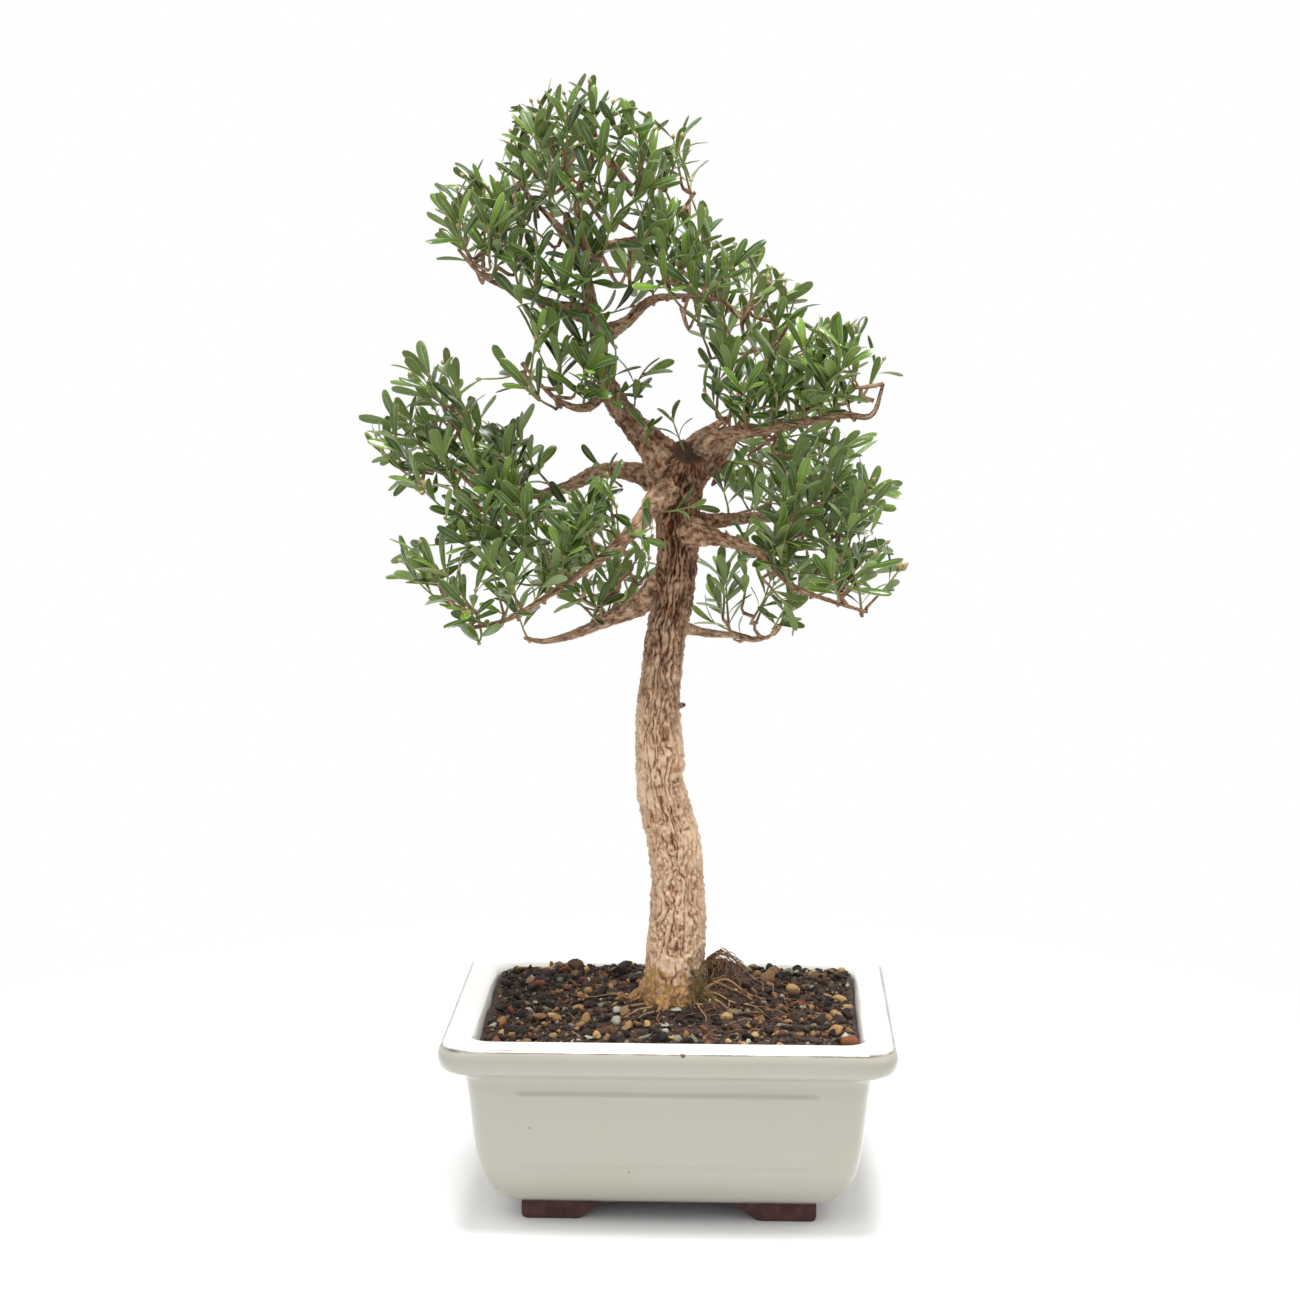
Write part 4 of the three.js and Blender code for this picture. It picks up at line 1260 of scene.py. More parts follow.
    def build(self, finish: Material) -> Piece:
        """Makes the pot."""
        cast = Cast()
        profile = self.profile()
        rings = self.wall(profile[:, 0], profile[:, 1], relief=True)
        outer = np.arange(len(profile)) < np.argmax(profile[:, 1])
        from_line = np.hypot(profile[:, 0] - self.lip_line[0], profile[:, 1] - self.lip_line[1])
        edge = np.exp(-((from_line / self.lip_line_width) ** 2)) * outer
        pool = np.exp(-(((profile[:, 1] - self.pool_height) / self.pool_reach) ** 2)) * outer
        cast.skin(rings + self.centre, glaze=np.stack([edge, pool, 0 * edge], -1)[:, None])
        self.cap(cast, rings[0], self.outside[0][1], up=False)
        self.cap(cast, rings[-1], self.inside[-1][1], up=True)
        self.holes(cast)
        self.feet(cast)
        return cast.build("cream_pot", [finish], 38)


# Soil

@dataclass
class SoilBed:
    """A low dome of humus with stones, grit, roots and straws on it."""

    pot: Pot
    surface: float = 97
    wall_inset: float = 19.6
    underside: tuple[Point2, ...] = ((42.4, 19), (33.4, 25), (27, 36.5), (22.9, 61.5), (20.4, 85))
    mounds: tuple[Row, ...] = (
        (0, 0, 62, 7), (26, 13, 15, 18), (46, 18, 22, 6), (-70, 30, 22, 4), (104, 40, 16, 6),
    )
    back_heap: float = 3.2
    heaped: float = 2.4
    clump_at: Point2 = (26, 11)
    rings: int = 40
    stone_pitch: float = 4.7
    stone_size: Point2 = (1.3, 4.5)
    grit_pitch: float = 3.4
    grit_size: Point2 = (0.5, 1.2)
    crumb_pitch: float = 4.1
    crumb_size: Point2 = (0.9, 2.4)
    bare_radius: float = 14
    clump_radius: float = 15
    rim_margin: float = 21
    rim_corner: float = 12
    unevenness: float = 15
    coarse_crumbs: float = 5.1
    fine_crumbs: float = 2.3
    crumb_height: float = 1.3
    roots_in_all: int = 165
    thick_roots: int = 16
    loose_roots: int = 95
    root_rings: int = 12
    root_sides: int = 6
    root_margin: float = 24
    matted_spread: float = 6
    matted_curl: float = 3
    seed: int = 11

    @staticmethod
    def cloud(x: Array, y: Array, cell: float, seed: int) -> Array:
        """Soft noise from 0 to 1 over the bed, in cells of a size."""
        return Noise.smooth(np.asarray(x) / cell + 200, np.asarray(y) / cell + 200, 9999, seed)

    def height(self, x: Array, y: Array) -> Array:
        """The humus's height."""
        total = np.full(np.shape(x), float(self.surface))
        for along, across, wide, high in self.mounds:
            total = total + high * np.exp(-((x - along) ** 2 + (y - across) ** 2) / wide**2)
        uneven = self.cloud(x, y, self.unevenness, 9)
        return total + self.heaped * (0.3 + 1.4 * uneven) + self.back_heap * ease(5, 60, np.asarray(y))

    def bed(self, finish: Material) -> Piece:
        """Makes the humus body."""
        rim = self.pot.wall(np.array([self.wall_inset]), np.array([self.surface]))[0]
        shares = np.linspace(1, 0.02, self.rings)[:, None]
        x, y = rim[:, 0] * shares, rim[:, 1] * shares
        rough = self.cloud(x, y, self.fine_crumbs, 3) + self.cloud(x, y, self.coarse_crumbs, 4)
        z = self.height(x, y) + (rough - 1) * self.crumb_height
        top = np.stack([x, y, z], -1)
        rows = np.array(self.underside)
        sides = self.pot.wall(rows[:, 0], rows[:, 1])
        cast = Cast()
        cast.skin(np.concatenate([sides, top]) + self.pot.centre)
        return cast.build("damp_humus_bed", [finish])

    def spots(self, pitch: float, sizes: Point2, rng: np.random.Generator) -> tuple[Array, Array]:
        """Scattered places on the bed and a size for each.

        Args:
            pitch: The usual distance between neighbours.
            sizes: The smallest and largest radius.
            rng: Where the chances come from.

        Returns:
            The x and y of each place, and the radii.
        """
        half = np.array([self.pot.width / 2 - self.rim_margin, self.pot.depth / 2 - self.rim_margin])
        columns, lines = (np.arange(-reach, reach, pitch) for reach in half)
        grid = np.stack(np.meshgrid(columns, lines), -1).reshape(-1, 2)
        flat = grid + rng.uniform(-0.5, 0.5, (len(grid), 2)) * pitch
        radii = sizes[0] + (sizes[1] - sizes[0]) * rng.random(len(flat)) ** 2.1
        over = np.maximum(np.abs(flat) - (half - self.rim_corner) + radii[:, None] * 0.8, 0)
        reach = np.hypot(flat[:, 0], flat[:, 1])
        held = (np.hypot(over[:, 0], over[:, 1]) < self.rim_corner) & (reach > self.bare_radius)
        if sizes[1] > self.grit_size[1]:
            held &= rng.random(len(flat)) > 0.75 * np.exp(-((reach / 44) ** 2))
        from_clump = flat - self.clump_at
        held &= np.hypot(from_clump[:, 0], from_clump[:, 1]) > self.clump_radius
        return flat[held], radii[held]

    def stones(self, finish: Material, name: str, pitch: float, sizes: Point2, fine: bool) -> Piece:
        """Makes a layer of broken stones.

        Args:
            finish: Their material.
            name: The piece's name.
            pitch: The usual distance between neighbours.
            sizes: The smallest and largest radius.
            fine: Whether the stones have many facets.

        Returns:
            The layer.
        """
        rng = np.random.default_rng(self.seed + fine)
        ball = bmesh.new()
        bmesh.ops.create_icosphere(ball, subdivisions=2 if fine else 1, radius=1)
        shape = np.array([vertex.co[:] for vertex in ball.verts])
        faces = np.array([[vertex.index for vertex in face.verts] for face in ball.faces])
        ball.free()
        flat, radii = self.spots(pitch, sizes, rng)
        count = len(flat)
        stones = np.repeat(shape[None], count, axis=0)
        for _ in range(9 if fine else 4):
            normal = rng.normal(size=(count, 3))
            normal /= norm(normal, axis=1)[:, None]
            over = np.einsum("nij,nj->ni", stones, normal) - rng.uniform(0.28, 0.8, (count, 1))
            stones = stones - np.maximum(over, 0)[..., None] * normal[:, None, :]
        stones = stones * rng.uniform((0.8, 0.75, 0.6), (1.55, 1.25, 1.15), (count, 3))[:, None, :]
        turn = rng.uniform(0, FULL_TURN, count)
        cos, sin = np.cos(turn)[:, None], np.sin(turn)[:, None]
        x = stones[..., 0] * cos - stones[..., 1] * sin
        y = stones[..., 0] * sin + stones[..., 1] * cos
        stones = np.stack([x, y, stones[..., 2]], -1) * radii[:, None, None]
        high = self.height(flat[:, 0], flat[:, 1]) + radii * rng.uniform(-0.15, 0.75, count)
        stones = stones + np.column_stack([flat, high])[:, None, :] + self.pot.centre
        notes = np.repeat(rng.random((count, 1, 3)), len(shape), axis=1)
        blocks = faces[None] + (np.arange(count) * len(shape))[:, None, None]
        cast = Cast()
        cast.add(stones.reshape(-1, 3), [blocks.reshape(-1, 3)], stone=notes.reshape(-1, 3))
        return cast.build(name, [finish], 0)

    def pebble(self, finish: Material, x: float, y: float) -> Piece:
        """Makes the one larger terracotta pebble by the front wall."""
        rings, sides, half = 15, 14, 5
        shares = np.linspace(-1, 1, rings)
        route = Route([(x - half, y + 1, 0), (x, y, 0.6), (x + half, y - 0.5, 0)])
        radii = 3.4 * np.sqrt(np.maximum(1 - shares**2, 0.0004)) * (1 + 0.1 * np.sin(5 * shares))
        points = tube(route, radii, sides) + self.pot.centre
        points[..., 2] += float(self.height(np.array(x), np.array(y))) + 2.4
        cast = Cast()
        cast.skin(points, stone=(0.6, 0.8, 0.0))
        return cast.build("terracotta_pebble", [finish])

    def roots(self, finish: Material) -> Piece:
        """Makes the surface roots, mostly right of the trunk, and loose straws."""
        rng = np.random.default_rng(self.seed + 5)
        cast = Cast()
        shares = np.linspace(0, 1, self.root_rings)
        limit_x, limit_y = self.pot.width / 2 - self.root_margin, self.pot.depth / 2 - self.root_margin
        for number in range(self.roots_in_all):
            thick = number < self.thick_roots
            matted = number >= self.loose_roots
            towards = rng.normal(-0.15, 0.75) if number % 3 else rng.uniform(0, FULL_TURN)
            start = rng.uniform(12, 18) if thick else rng.uniform(18, 80)
            length = rng.uniform(22, 46) if thick else rng.uniform(7, 20)
            radius = rng.uniform(0.55, 1.15) if thick else rng.uniform(0.16, 0.34)
            bend = rng.uniform(-0.9, 0.9)
            heading = towards + (0 if thick else rng.uniform(-1.6, 1.6))
            turns = heading + bend * shares + 0.25 * np.sin(9 * shares + number)
            foot = (math.cos(towards) * start, math.sin(towards) * start * 0.8)
            if matted:
                foot = rng.normal(0, self.matted_spread, 2) + self.clump_at
                turns = self.matted_curl * turns
            x = foot[0] + np.cumsum(np.cos(turns)) * length / self.root_rings
            y = foot[1] + np.cumsum(np.sin(turns)) * length / self.root_rings
            x, y = np.clip(x, -limit_x, limit_x), np.clip(y, -limit_y, limit_y)
            lift = rng.uniform(0.5, 2.6) * np.sin(math.pi * shares) + (0.6 if thick else 1.8) + 1.5 * matted
            route = Route(np.column_stack([x, y, self.height(x, y) + lift]))
            points = tube(route, radius * (1 - 0.7 * shares), self.root_sides)
            cast.skin(points + self.pot.centre, fibre=rng.uniform(0.1, 1) * (1 - 0.8 * matted))
        return cast.build("surface_roots_and_straws", [finish])


# Wood

@dataclass
class Stem:
    """One barked stem along rows of x, y, z and radius."""

    rows: Sequence[Row]
    key: int
    sides: int
    step: float
    plate_wide: float = 3.4
    plate_long: float = 11
    cleft: float = 2.9
    wander: float = 0.085
    end: bool = False
    end_tilt: float = 0.0
    taper: float = 0.0
    collar: float = 0.0
    rough: float = 1.3

    def bark(self, cells: Array, length: Array, wrap: int) -> tuple[Array, Array]:
        """Corky lengthwise ridges that wander and join, with narrow broken fissures.

        Args:
            cells: Place round the stem, in ridges.
            length: Place along it, in ridges' lengths.
            wrap: Ridges in one turn.

        Returns:
            The height of each place from 0 to 1, and a tone from 0 to 1.
        """
        seed = self.key * 7
        wander = Noise.smooth(cells + wrap, length, wrap, seed)
        wander = wander + 0.4 * Noise.smooth(2 * cells, 3 * length, 2 * wrap, seed + 1)
        bent = cells + wrap + 1.9 * (wander - 0.7)
        ridge = np.floor(bent)
        from_furrow = 1 - np.abs(2 * (bent - ridge) - 1)
        depth = ease(0.15, 0.5, Noise.smooth(ridge + 0.5, 1.6 * length, wrap, seed + 2))
        furrow = (1 - ease(0.0, 0.5, from_furrow)) * (0.35 + 0.65 * depth)
        tone = Noise.smooth(ridge % wrap + 0.5, 1.3 * length, wrap, seed + 3)
        split = Noise.smooth(1.7 * bent, 2.6 * length + 0.4 * from_furrow, wrap * 17, seed + 4)
        crack = (1 - ease(0.0, 0.2, np.abs(2 * split - 1))) * ease(0.2, 0.5, 1 - tone)
        crumbs = Noise.smooth(4 * bent, 7 * length, 4 * wrap, seed + 5)
        body = 0.5 + 0.45 * tone + 0.35 * (crumbs - 0.5)
        return np.clip(body * (1 - 0.95 * furrow) * (1 - 0.6 * crack) + 0.06, 0, 1), tone

    def add_to(self, cast: Cast, shift: Array) -> None:
        """Adds the stem's surface to a cast."""
        rows = np.array(self.rows, float)
        route = Route(rows[:, :3])
        shares = np.linspace(0, 1, max(4, round(route.length / self.step)) + 1)
        places = np.minimum(route.time_of(shares), 0.99999) * (len(rows) - 1)
        plain = np.interp(places, np.arange(len(rows)), rows[:, 3])[:, None]
        plain = plain * (1 - self.taper * ease(0.08, 0.9, shares)[:, None])
        plain = plain * (1 + self.collar * (1 - ease(0.0, 0.22, shares)[:, None]))
        turn, along = np.meshgrid(circle(self.sides), shares * route.length)
        mean = float(plain.mean())
        wrap = max(4, round(FULL_TURN * mean / self.plate_wide))
        cells = turn / FULL_TURN * wrap
        level, tone = self.bark(cells, along / self.plate_long, wrap)
        large = Noise.smooth(turn / FULL_TURN * 5, along / (4 * mean + 6), 5, self.key + 90)
        depth = np.minimum(self.cleft, 0.28 * plain)
        ragged = Noise.smooth(3 * cells, along / 2.3, 3 * wrap, self.key + 91) - 0.5
        ragged = ragged + 0.6 * Noise.smooth(6 * cells, along / 1.2, 6 * wrap, self.key + 92) - 0.3
        sway = self.wander * (0.5 * np.sin(2 * turn + along / 31 + self.key) - 0.6)
        radius = plain * (1 + sway) + depth * (level - 0.55) + 0.16 * np.minimum(plain, 9) * (large - 0.5)
        radius = radius + np.minimum(self.rough, 0.22 * plain) * ragged
        middles = route.at(route.time_of(shares))
        points = rings_round(route, shares, radius, self.sides)
        grain = np.stack([np.cos(turn) * mean, np.sin(turn) * mean, along], -1)
        level = np.clip(level + 0.3 * ragged, 0, 1)
        notes = np.stack([level, tone, 0 * level], -1)
        if self.end_tilt:
            near_end = ease(0.97, 1.0, shares)[:, None]
            points[..., 2] += self.end_tilt * near_end * (points[..., 1] - middles[:, None, 1])
        closing = [(0.7, 0.0), (0.0, 0.0)] if self.end else [(0.75, 0.35), (0.35, 0.6), (0.0, 0.65)]
        ahead = unit(middles[-1] - middles[-2])
        last = points[-1] - middles[-1]
        ends = [middles[-1] + last * share + ahead * rise * float(plain[-1, 0]) for share, rise in closing]
        points = np.concatenate([points, ends])
        grain = np.concatenate([grain, *[grain[-1:]] * len(ends)])
        notes = np.concatenate([notes, np.full((len(ends), self.sides, 3), (0.5, 0.5, float(self.end)))])
        cast.skin(points + shift, bark=notes, grain=grain + self.key * 40)


@dataclass(frozen=True)
class Shoot:
    """A leafy shoot on its twig."""

    owner: int
    root: Array
    base: Array
    way: Array

    @classmethod
    def grow(
        cls, middle: Sequence[float], owner: int, attempt: int, stations: Array, lift: float = 0.3
    ) -> "Shoot":
        """Grows a shoot that leans away from its limb, from the crown's heart and upwards.

        Args:
            middle: Where its leaves gather.
            owner: Its number, which fixes its chances.
            attempt: Later attempts stray further.
            stations: Places where a twig may start.
            lift: How strongly it turns upwards.

        Returns:
            The shoot.
        """
        centre = np.array(middle, float)
        distances = norm(stations - centre, axis=1)
        best = 0
        for i, distance in enumerate(distances):
            if distance < distances[best] - 0.5:
                best = i
        root = stations[best]
        stray = SHOOT_STRAY + SHOOT_STRAY_PER_ATTEMPT * attempt
        strays = np.array([drift(stray, owner, axis, attempt) for axis in (1, 2, 3)])
        way = unit(unit(centre - root) + 0.6 * unit(centre - np.array(CROWN_HEART)) + lift * UP + strays)
        back = min(0.5 * SHOOT_LENGTH + 12, max(2, float(distances[best]) - 7))
        return cls(owner, root, centre - way * back, way)

    def stalk(self) -> tuple[Array, Array, Array]:
        """Foot, middle and tip of the green stalk."""
        bend = np.array([drift(0.25, self.owner, 4), drift(0.25, self.owner, 5), 0.25])
        middle = self.base + self.way * SHOOT_LENGTH / 2
        tip = middle + unit(self.way + bend) * SHOOT_LENGTH / 2
        return self.base + self.way * SHOOT_GAP, middle, tip

    def twig(self, stations: Array) -> tuple[Row, ...]:
        """Rows of the woody twig, from the place on a limb that is nearest to its end."""
        root = stations[np.argmin(norm(stations - self.base, axis=1))]
        if norm(root - self.base) > 0.8 * norm(self.root - self.base):
            root = self.root
        bow = self.base - self.way * min(7, 0.4 * float(norm(root - self.base)))
        return ((*root, 1.25), (*bow, 0.95), (*(self.base + self.way), 0.75))

    def seats(self, pairs: int) -> Iterator["Seat"]:
        """Where its leaves sit: opposite pairs, each a quarter turn from the last."""
        foot, middle, tip = self.stalk()
        for pair in range(pairs):
            share = min((pair + 0.7) / (PAIRS_PER_SHOOT - 0.25), 0.995)
            start, end, part = (foot, middle, 2 * share) if share < 0.5 else (middle, tip, 2 * share - 1)
            along = unit(end - start)
            side = unit(np.cross(along, UP))
            over = unit(np.cross(side, along))
            place = start + (end - start) * part
            for opposite in (0, 1):
                turn = math.pi * (opposite + pair / 2) + 0.6 + drift(0.35, self.owner, pair, opposite)
                lean = LEAF_LEAN - LEAF_LEAN_PER_PAIR * pair + drift(0.12, self.owner, pair, opposite, 1)
                size = (0.82 + 0.1 * pair) * (1 + drift(0.14, self.owner, pair, opposite, 2))
                if pair >= PAIRS_PER_SHOOT:
                    size *= 0.78
                yield Seat(place, along, side, over, turn, lean, size, pair)


@dataclass(frozen=True)
class Seat:
    """Where one leaf joins its stalk."""

    place: Array
    along: Array
    side: Array
    over: Array
    turn: float
    lean: float
    size: float
    pair: int

    def leaf(self, twist: float, key: int, young: float, dry: float = 0.0) -> "Leaf":
        """The leaf on this seat.

        Args:
            twist: How far it is turned further round the stalk.
            key: Its own number.
            young: How fresh it is, from 0 to 1.
            dry: How dry it is, from 0 to 1.

        Returns:
            The leaf.
        """
        turn = self.turn + twist
        outward = self.side * math.cos(turn) + self.over * math.sin(turn)
        way = self.along * math.cos(self.lean) + outward * math.sin(self.lean)
        face = unit(self.along - way * float(self.along @ way))
        root = self.place + outward * 0.3 * SHOOT_RADIUS
        return Leaf(root, np.cross(way, face), way, face, self.size, key, young, dry)


@dataclass(frozen=True)
class Leaf:
    """One spoon-shaped blade."""

    root: Array
    across: Array
    way: Array
    face: Array
    size: float
    key: int
    young: float
    dry: float

    def corner(self) -> Array:
        """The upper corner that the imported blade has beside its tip."""
        lift = self.face * (0.4 * LEAF_ARCH + LEAF_THICKNESS / 2)
        return self.tip() + self.across * LEAF_WIDTH * self.size / 4 + lift

    def tip(self) -> Array:
        """The end of the blade."""
        return self.root + self.way * LEAF_LENGTH * self.size

    def middle(self) -> Array:
        """The middle of the blade."""
        return self.root + self.way * LEAF_LENGTH * self.size * 0.55


@dataclass
class Foliage:
    """Shape of the leaves, their green stalks and the buds."""

    shift: Array
    stations: tuple[float, ...] = (0, 0.1, 0.25, 0.42, 0.6, 0.76, 0.88, 0.96, 1)
    widths: tuple[float, ...] = (0.1, 0.25, 0.55, 0.82, 0.98, 1, 0.86, 0.58, 0.1)
    upper: tuple[float, ...] = (-1, -0.62, -0.14, 0, 0.14, 0.62, 1)
    lower: tuple[float, ...] = (1, 0, -1)
    thickness: float = 0.34
    edge_thickness: float = 0.1
    groove: float = 0.2
    stalk_rings: int = 11
    stalk_sides: int = 6

    def add_leaves(self, cast: Cast, leaves: Sequence[Leaf]) -> None:
        """Adds blades to a cast."""
        if not leaves:
            return

        def each(name: str) -> Array:
            """One value of every leaf."""
            return np.array([getattr(leaf, name) for leaf in leaves])[:, None, None]

        along = np.array(self.stations)[:, None]
        across = np.array([*self.upper, *self.lower])[None, :]
        below = np.array([0] * len(self.upper) + [1] * len(self.lower))[None, :]
        wide = np.array(self.widths)[:, None]
        thick = self.edge_thickness + (self.thickness - self.edge_thickness) * (1 - across**2)
        level = np.where(below > 0, -thick, thick) * (0.3 + 0.7 * wide)
        level = level - self.groove * np.exp(-((across / 0.1) ** 2)) * (1 - below) * (1 - along)
        arch = LEAF_ARCH * (3.592 * along - 3.192 * along**2)
        chance = np.array([[draw(leaf.key, i) for i in range(40, 46)] for leaf in leaves])[:, :, None, None]
        cup, bend, roll, ripple, tone, curl = (chance[:, i] for i in range(6))
        dry, sizes = each("dry"), each("size")
        half = LEAF_WIDTH / 2 * sizes * (0.64 + 0.2 * ripple)
        x = across * wide * half
        y = along * LEAF_LENGTH * sizes
        z = level + arch + (cup * 1.5 - 1.1 - 1.6 * dry) * 0.28 * wide * across**2 * half
        z = z + (roll - 0.5) * 0.7 * along * x + (curl - 0.55) * 3.2 * along**3
        z = z + 0.12 * np.sin(5 * along + 9 * ripple)
        x = x + (bend - 0.5) * 3.4 * along**2
        y = np.broadcast_to(y, x.shape)
        points = each("root")
        for reach, name in ((x, "across"), (y, "way"), (z, "face")):
            points = points + reach[..., None] * each(name)
        shape = x.shape
        blade = np.stack([np.broadcast_to(part, shape) for part in (across[None], along[None], tone)], -1)
        state = np.stack([np.broadcast_to(part, shape) for part in (below[None], each("young"), dry)], -1)
        ring = shape[1] * shape[2]
        faces = tube_faces(shape[1], shape[2])[None] + (np.arange(len(leaves)) * ring)[:, None, None]
        cast.add(
            points.reshape(-1, 3) + self.shift,
            [faces.reshape(-1, 4)],
            blade=blade.reshape(-1, 3),
            leaf_state=state.reshape(-1, 3),
        )

    def add_shoot(self, cast: Cast, shoot: Shoot, leaves: Sequence[Leaf]) -> None:
        """Adds a shoot: its leaves, its stalk and its end bud."""
        self.add_leaves(cast, leaves)
        foot, middle, tip = shoot.stalk()
        shares = np.linspace(0, 1, self.stalk_rings)
        joints = np.exp(-(((shares * 2.75 + 0.3) % 1 - 0.5) ** 2) / 0.01)
        points = tube(Route([foot, middle, tip]), 0.74 - 0.34 * shares + 0.1 * joints, self.stalk_sides)
        notes = np.stack([1 - shares * 1.5, 0 * shares, 0 * shares], -1)[:, None]
        cast.skin(points + self.shift, 1, stalk=np.clip(notes, 0, 1))
        self.add_bud(cast, tip, unit(tip - middle), 1.0)

    def add_bud(self, cast: Cast, place: Array, way: Array, size: float) -> None:
        """Adds a small scaly bud."""
        rows = np.array([place, place + way * 1.3 * size, place + way * 3.2 * size])
        radii = size * np.array([0.5, 1.0, 1.15, 0.95, 0.55, 0.03])
        points = tube(Route(rows), radii, self.stalk_sides)
        cast.skin(points + self.shift, 1, stalk=(0.2, 0.75, 0))


# The whole tree

@dataclass
class Tree:
    """Trunk, limbs, twigs and leafy shoots."""

    shift: Array
    sight: Sight
    spacing: float = 15.0
    lift: float = 0.9
    nearness: float = 25.0
    tries_per_pad: int = 420
    straightness: float = 0.35
    extra_pairs: int = 4
    extra_size: float = 0.87
    sprig_size: float = 0.62
    buds_per_cluster: int = 7
    bud_spread: float = 2.2
    fewest_leaves: int = 3
    dry_from: float = 0.998
    same_place: float = 0.06
    flares: tuple[Triple, ...] = (
        (-0.35, 34, 6.5), (2.9, 31, 6), (-1.9, 26, 5.5), (0.9, 36, 6.5),
    )
    stations: Array = field(init=False)

    def __post_init__(self) -> None:
        """Finds the places along the limbs where twigs start."""
        found: list[Array] = []
        for rows in LIMBS.values():
            route = Route([row[:3] for row in rows])
            rings = route.spaced(round(route.length / LIMB_STEP))
            for i, ring in enumerate(rings[2:]):
                found += [(ring + rings[i + 1]) / 2, ring]
        self.stations = np.array(found)

    def kept_shoots(self, nodes: Sequence[Array]) -> list[Shoot]:
        """Finds the shoot that each packed spray was grown from.

        Args:
            nodes: The points of each spray, in order.

        Returns:
            The shoots, in the same order.
        """
        kept: list[Shoot] = []
        owner = 0
        for points in nodes:
            best: tuple[float, Shoot] | None = None
            for tried in range(owner, min(owner + 3, len(SHOOT_MIDDLES))):
                for attempt in range(SHOOT_ATTEMPTS):
                    shoot = Shoot.grow(SHOOT_MIDDLES[tried], tried, attempt, self.stations)
                    foot, _, tip = shoot.stalk()
                    miss = abs(float(norm(points - tip, axis=1).min()) - 0.7 * SHOOT_RADIUS)
                    miss += abs(float(norm(points - foot, axis=1).min()) - SHOOT_RADIUS)
                    if best is None or miss < best[0]:
                        best = (miss, shoot)
            kept.append(best[1])
            owner = best[1].owner + 1
        return kept

    def kept_leaves(self, shoot: Shoot, points: Array) -> list[Leaf]:
        """Finds which blades a packed spray has, and adds the pair at its end."""
        leaves: list[Leaf] = []
        for place, seat in enumerate(shoot.seats(PAIRS_PER_SHOOT + 1)):
            key = shoot.owner * 20 + place
            last = seat.pair >= PAIRS_PER_SHOOT
            young = 0.12 + 0.5 * draw(key, 3) ** 3 + (0.35 if last else 0)
            if last:
                leaf = seat.leaf(0.0, key, young)
                if self.sight.in_pads(leaf.tip()):
                    leaves.append(leaf)
                continue
            for twist in LEAF_TWISTS:
                leaf = seat.leaf(twist, key, young)
                if float(norm(points - leaf.corner(), axis=1).min()) < self.same_place:
                    leaves.append(leaf)
                    break
        return leaves

    def further_shoots(self, kept: Sequence[Shoot]) -> dict[str, list[Shoot]]:
        """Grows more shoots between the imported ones, pad by pad."""
        taken = [np.array(SHOOT_MIDDLES[shoot.owner], float) for shoot in kept]
        packed = np.array(taken)
        grown: dict[str, list[Shoot]] = {}
        stations = [*self.stations, *(shoot.base for shoot in kept)]
        eye = self.sight.eye()
        for number, (pad, outline) in enumerate(PADS.items()):
            near, far = PAD_DEPTHS[pad]
            corners = np.array(outline)
            low, high = corners.min(axis=0), corners.max(axis=0)
            grown[pad] = []
            for attempt in range(self.tries_per_pad):
                key = FURTHER_KEYS + number * self.tries_per_pad + attempt
                x = low[0] + (high[0] - low[0]) * draw(key, 1)
                z = low[1] + (high[1] - low[1]) * draw(key, 2)
                if not inside(outline, x, z):
                    continue
                depth = near + (far - near) * draw(key, 3)
                middle = eye + (np.array([x, 0, z]) - eye) * (depth - eye[1]) / -eye[1]
                if norm(packed - middle, axis=1).min() > self.nearness:
                    continue
                if min(float(norm(middle - other)) for other in taken) < self.spacing:
                    continue
                shoot = Shoot.grow(middle, key, 0, np.array(stations), self.lift)
                twig = (shoot.base, (shoot.base + shoot.root) / 2)
                if not all(self.sight.in_pads(point) for point in twig):
                    continue
                if float(unit(middle - shoot.root) @ shoot.way) < self.straightness:
                    continue
                if len(self.leaves_of(shoot)) < self.fewest_leaves:
                    continue
                taken.append(middle)
                stations.append(shoot.base)
                grown[pad].append(shoot)
        return grown

    def wood(self, shoots: Sequence[Shoot], finish: Material, limb_finish: Material) -> list[Piece]:
        """Makes the trunk and the limbs with their twigs."""
        trunk = Cast()
        Stem(TRUNK, 3, 144, 0.95, end=True, end_tilt=0.35).add_to(trunk, self.shift)
        self.snag(trunk)
        for number, (heading, reach, radius) in enumerate(self.flares):
            way = np.array([math.cos(heading), math.sin(heading), 0.0])
            rows = [(*(way * 6), 128, radius), (*(way * 13), 114, radius * 0.9)]
            rows += [(*(way * 0.75 * reach), 104, radius * 0.6), (*(way * reach), 97, radius * 0.35)]
            rows = [(x, y, z - TREE_AT[2], size) for x, y, _, z, size in rows]
            Stem(rows, FLARE_KEYS + number, 36, 0.8, cleft=1.6).add_to(trunk, self.shift)
        limbs = Cast()
        for i, (name, rows) in enumerate(LIMBS.items()):
            stout = rows[0][3] > 6
            rows = [LIMB_STARTS.get(name, rows[0]), *rows[1:]]
            limb = Stem(rows, 5 + i, 36 if stout else 22, 1.1, 2.8, 7, 2.2, taper=0.42, collar=0.4)
            limb.add_to(limbs, self.shift)
        for shoot in shoots:
            twig = Stem(shoot.twig(self.stations), TWIG_KEYS + shoot.owner, 7, 3.0, 1.6, 5, 0.3, 0.05)
            twig.add_to(limbs, self.shift)
        return [trunk.build("fissured_trunk", [finish]), limbs.build("limbs_and_twigs", [limb_finish])]

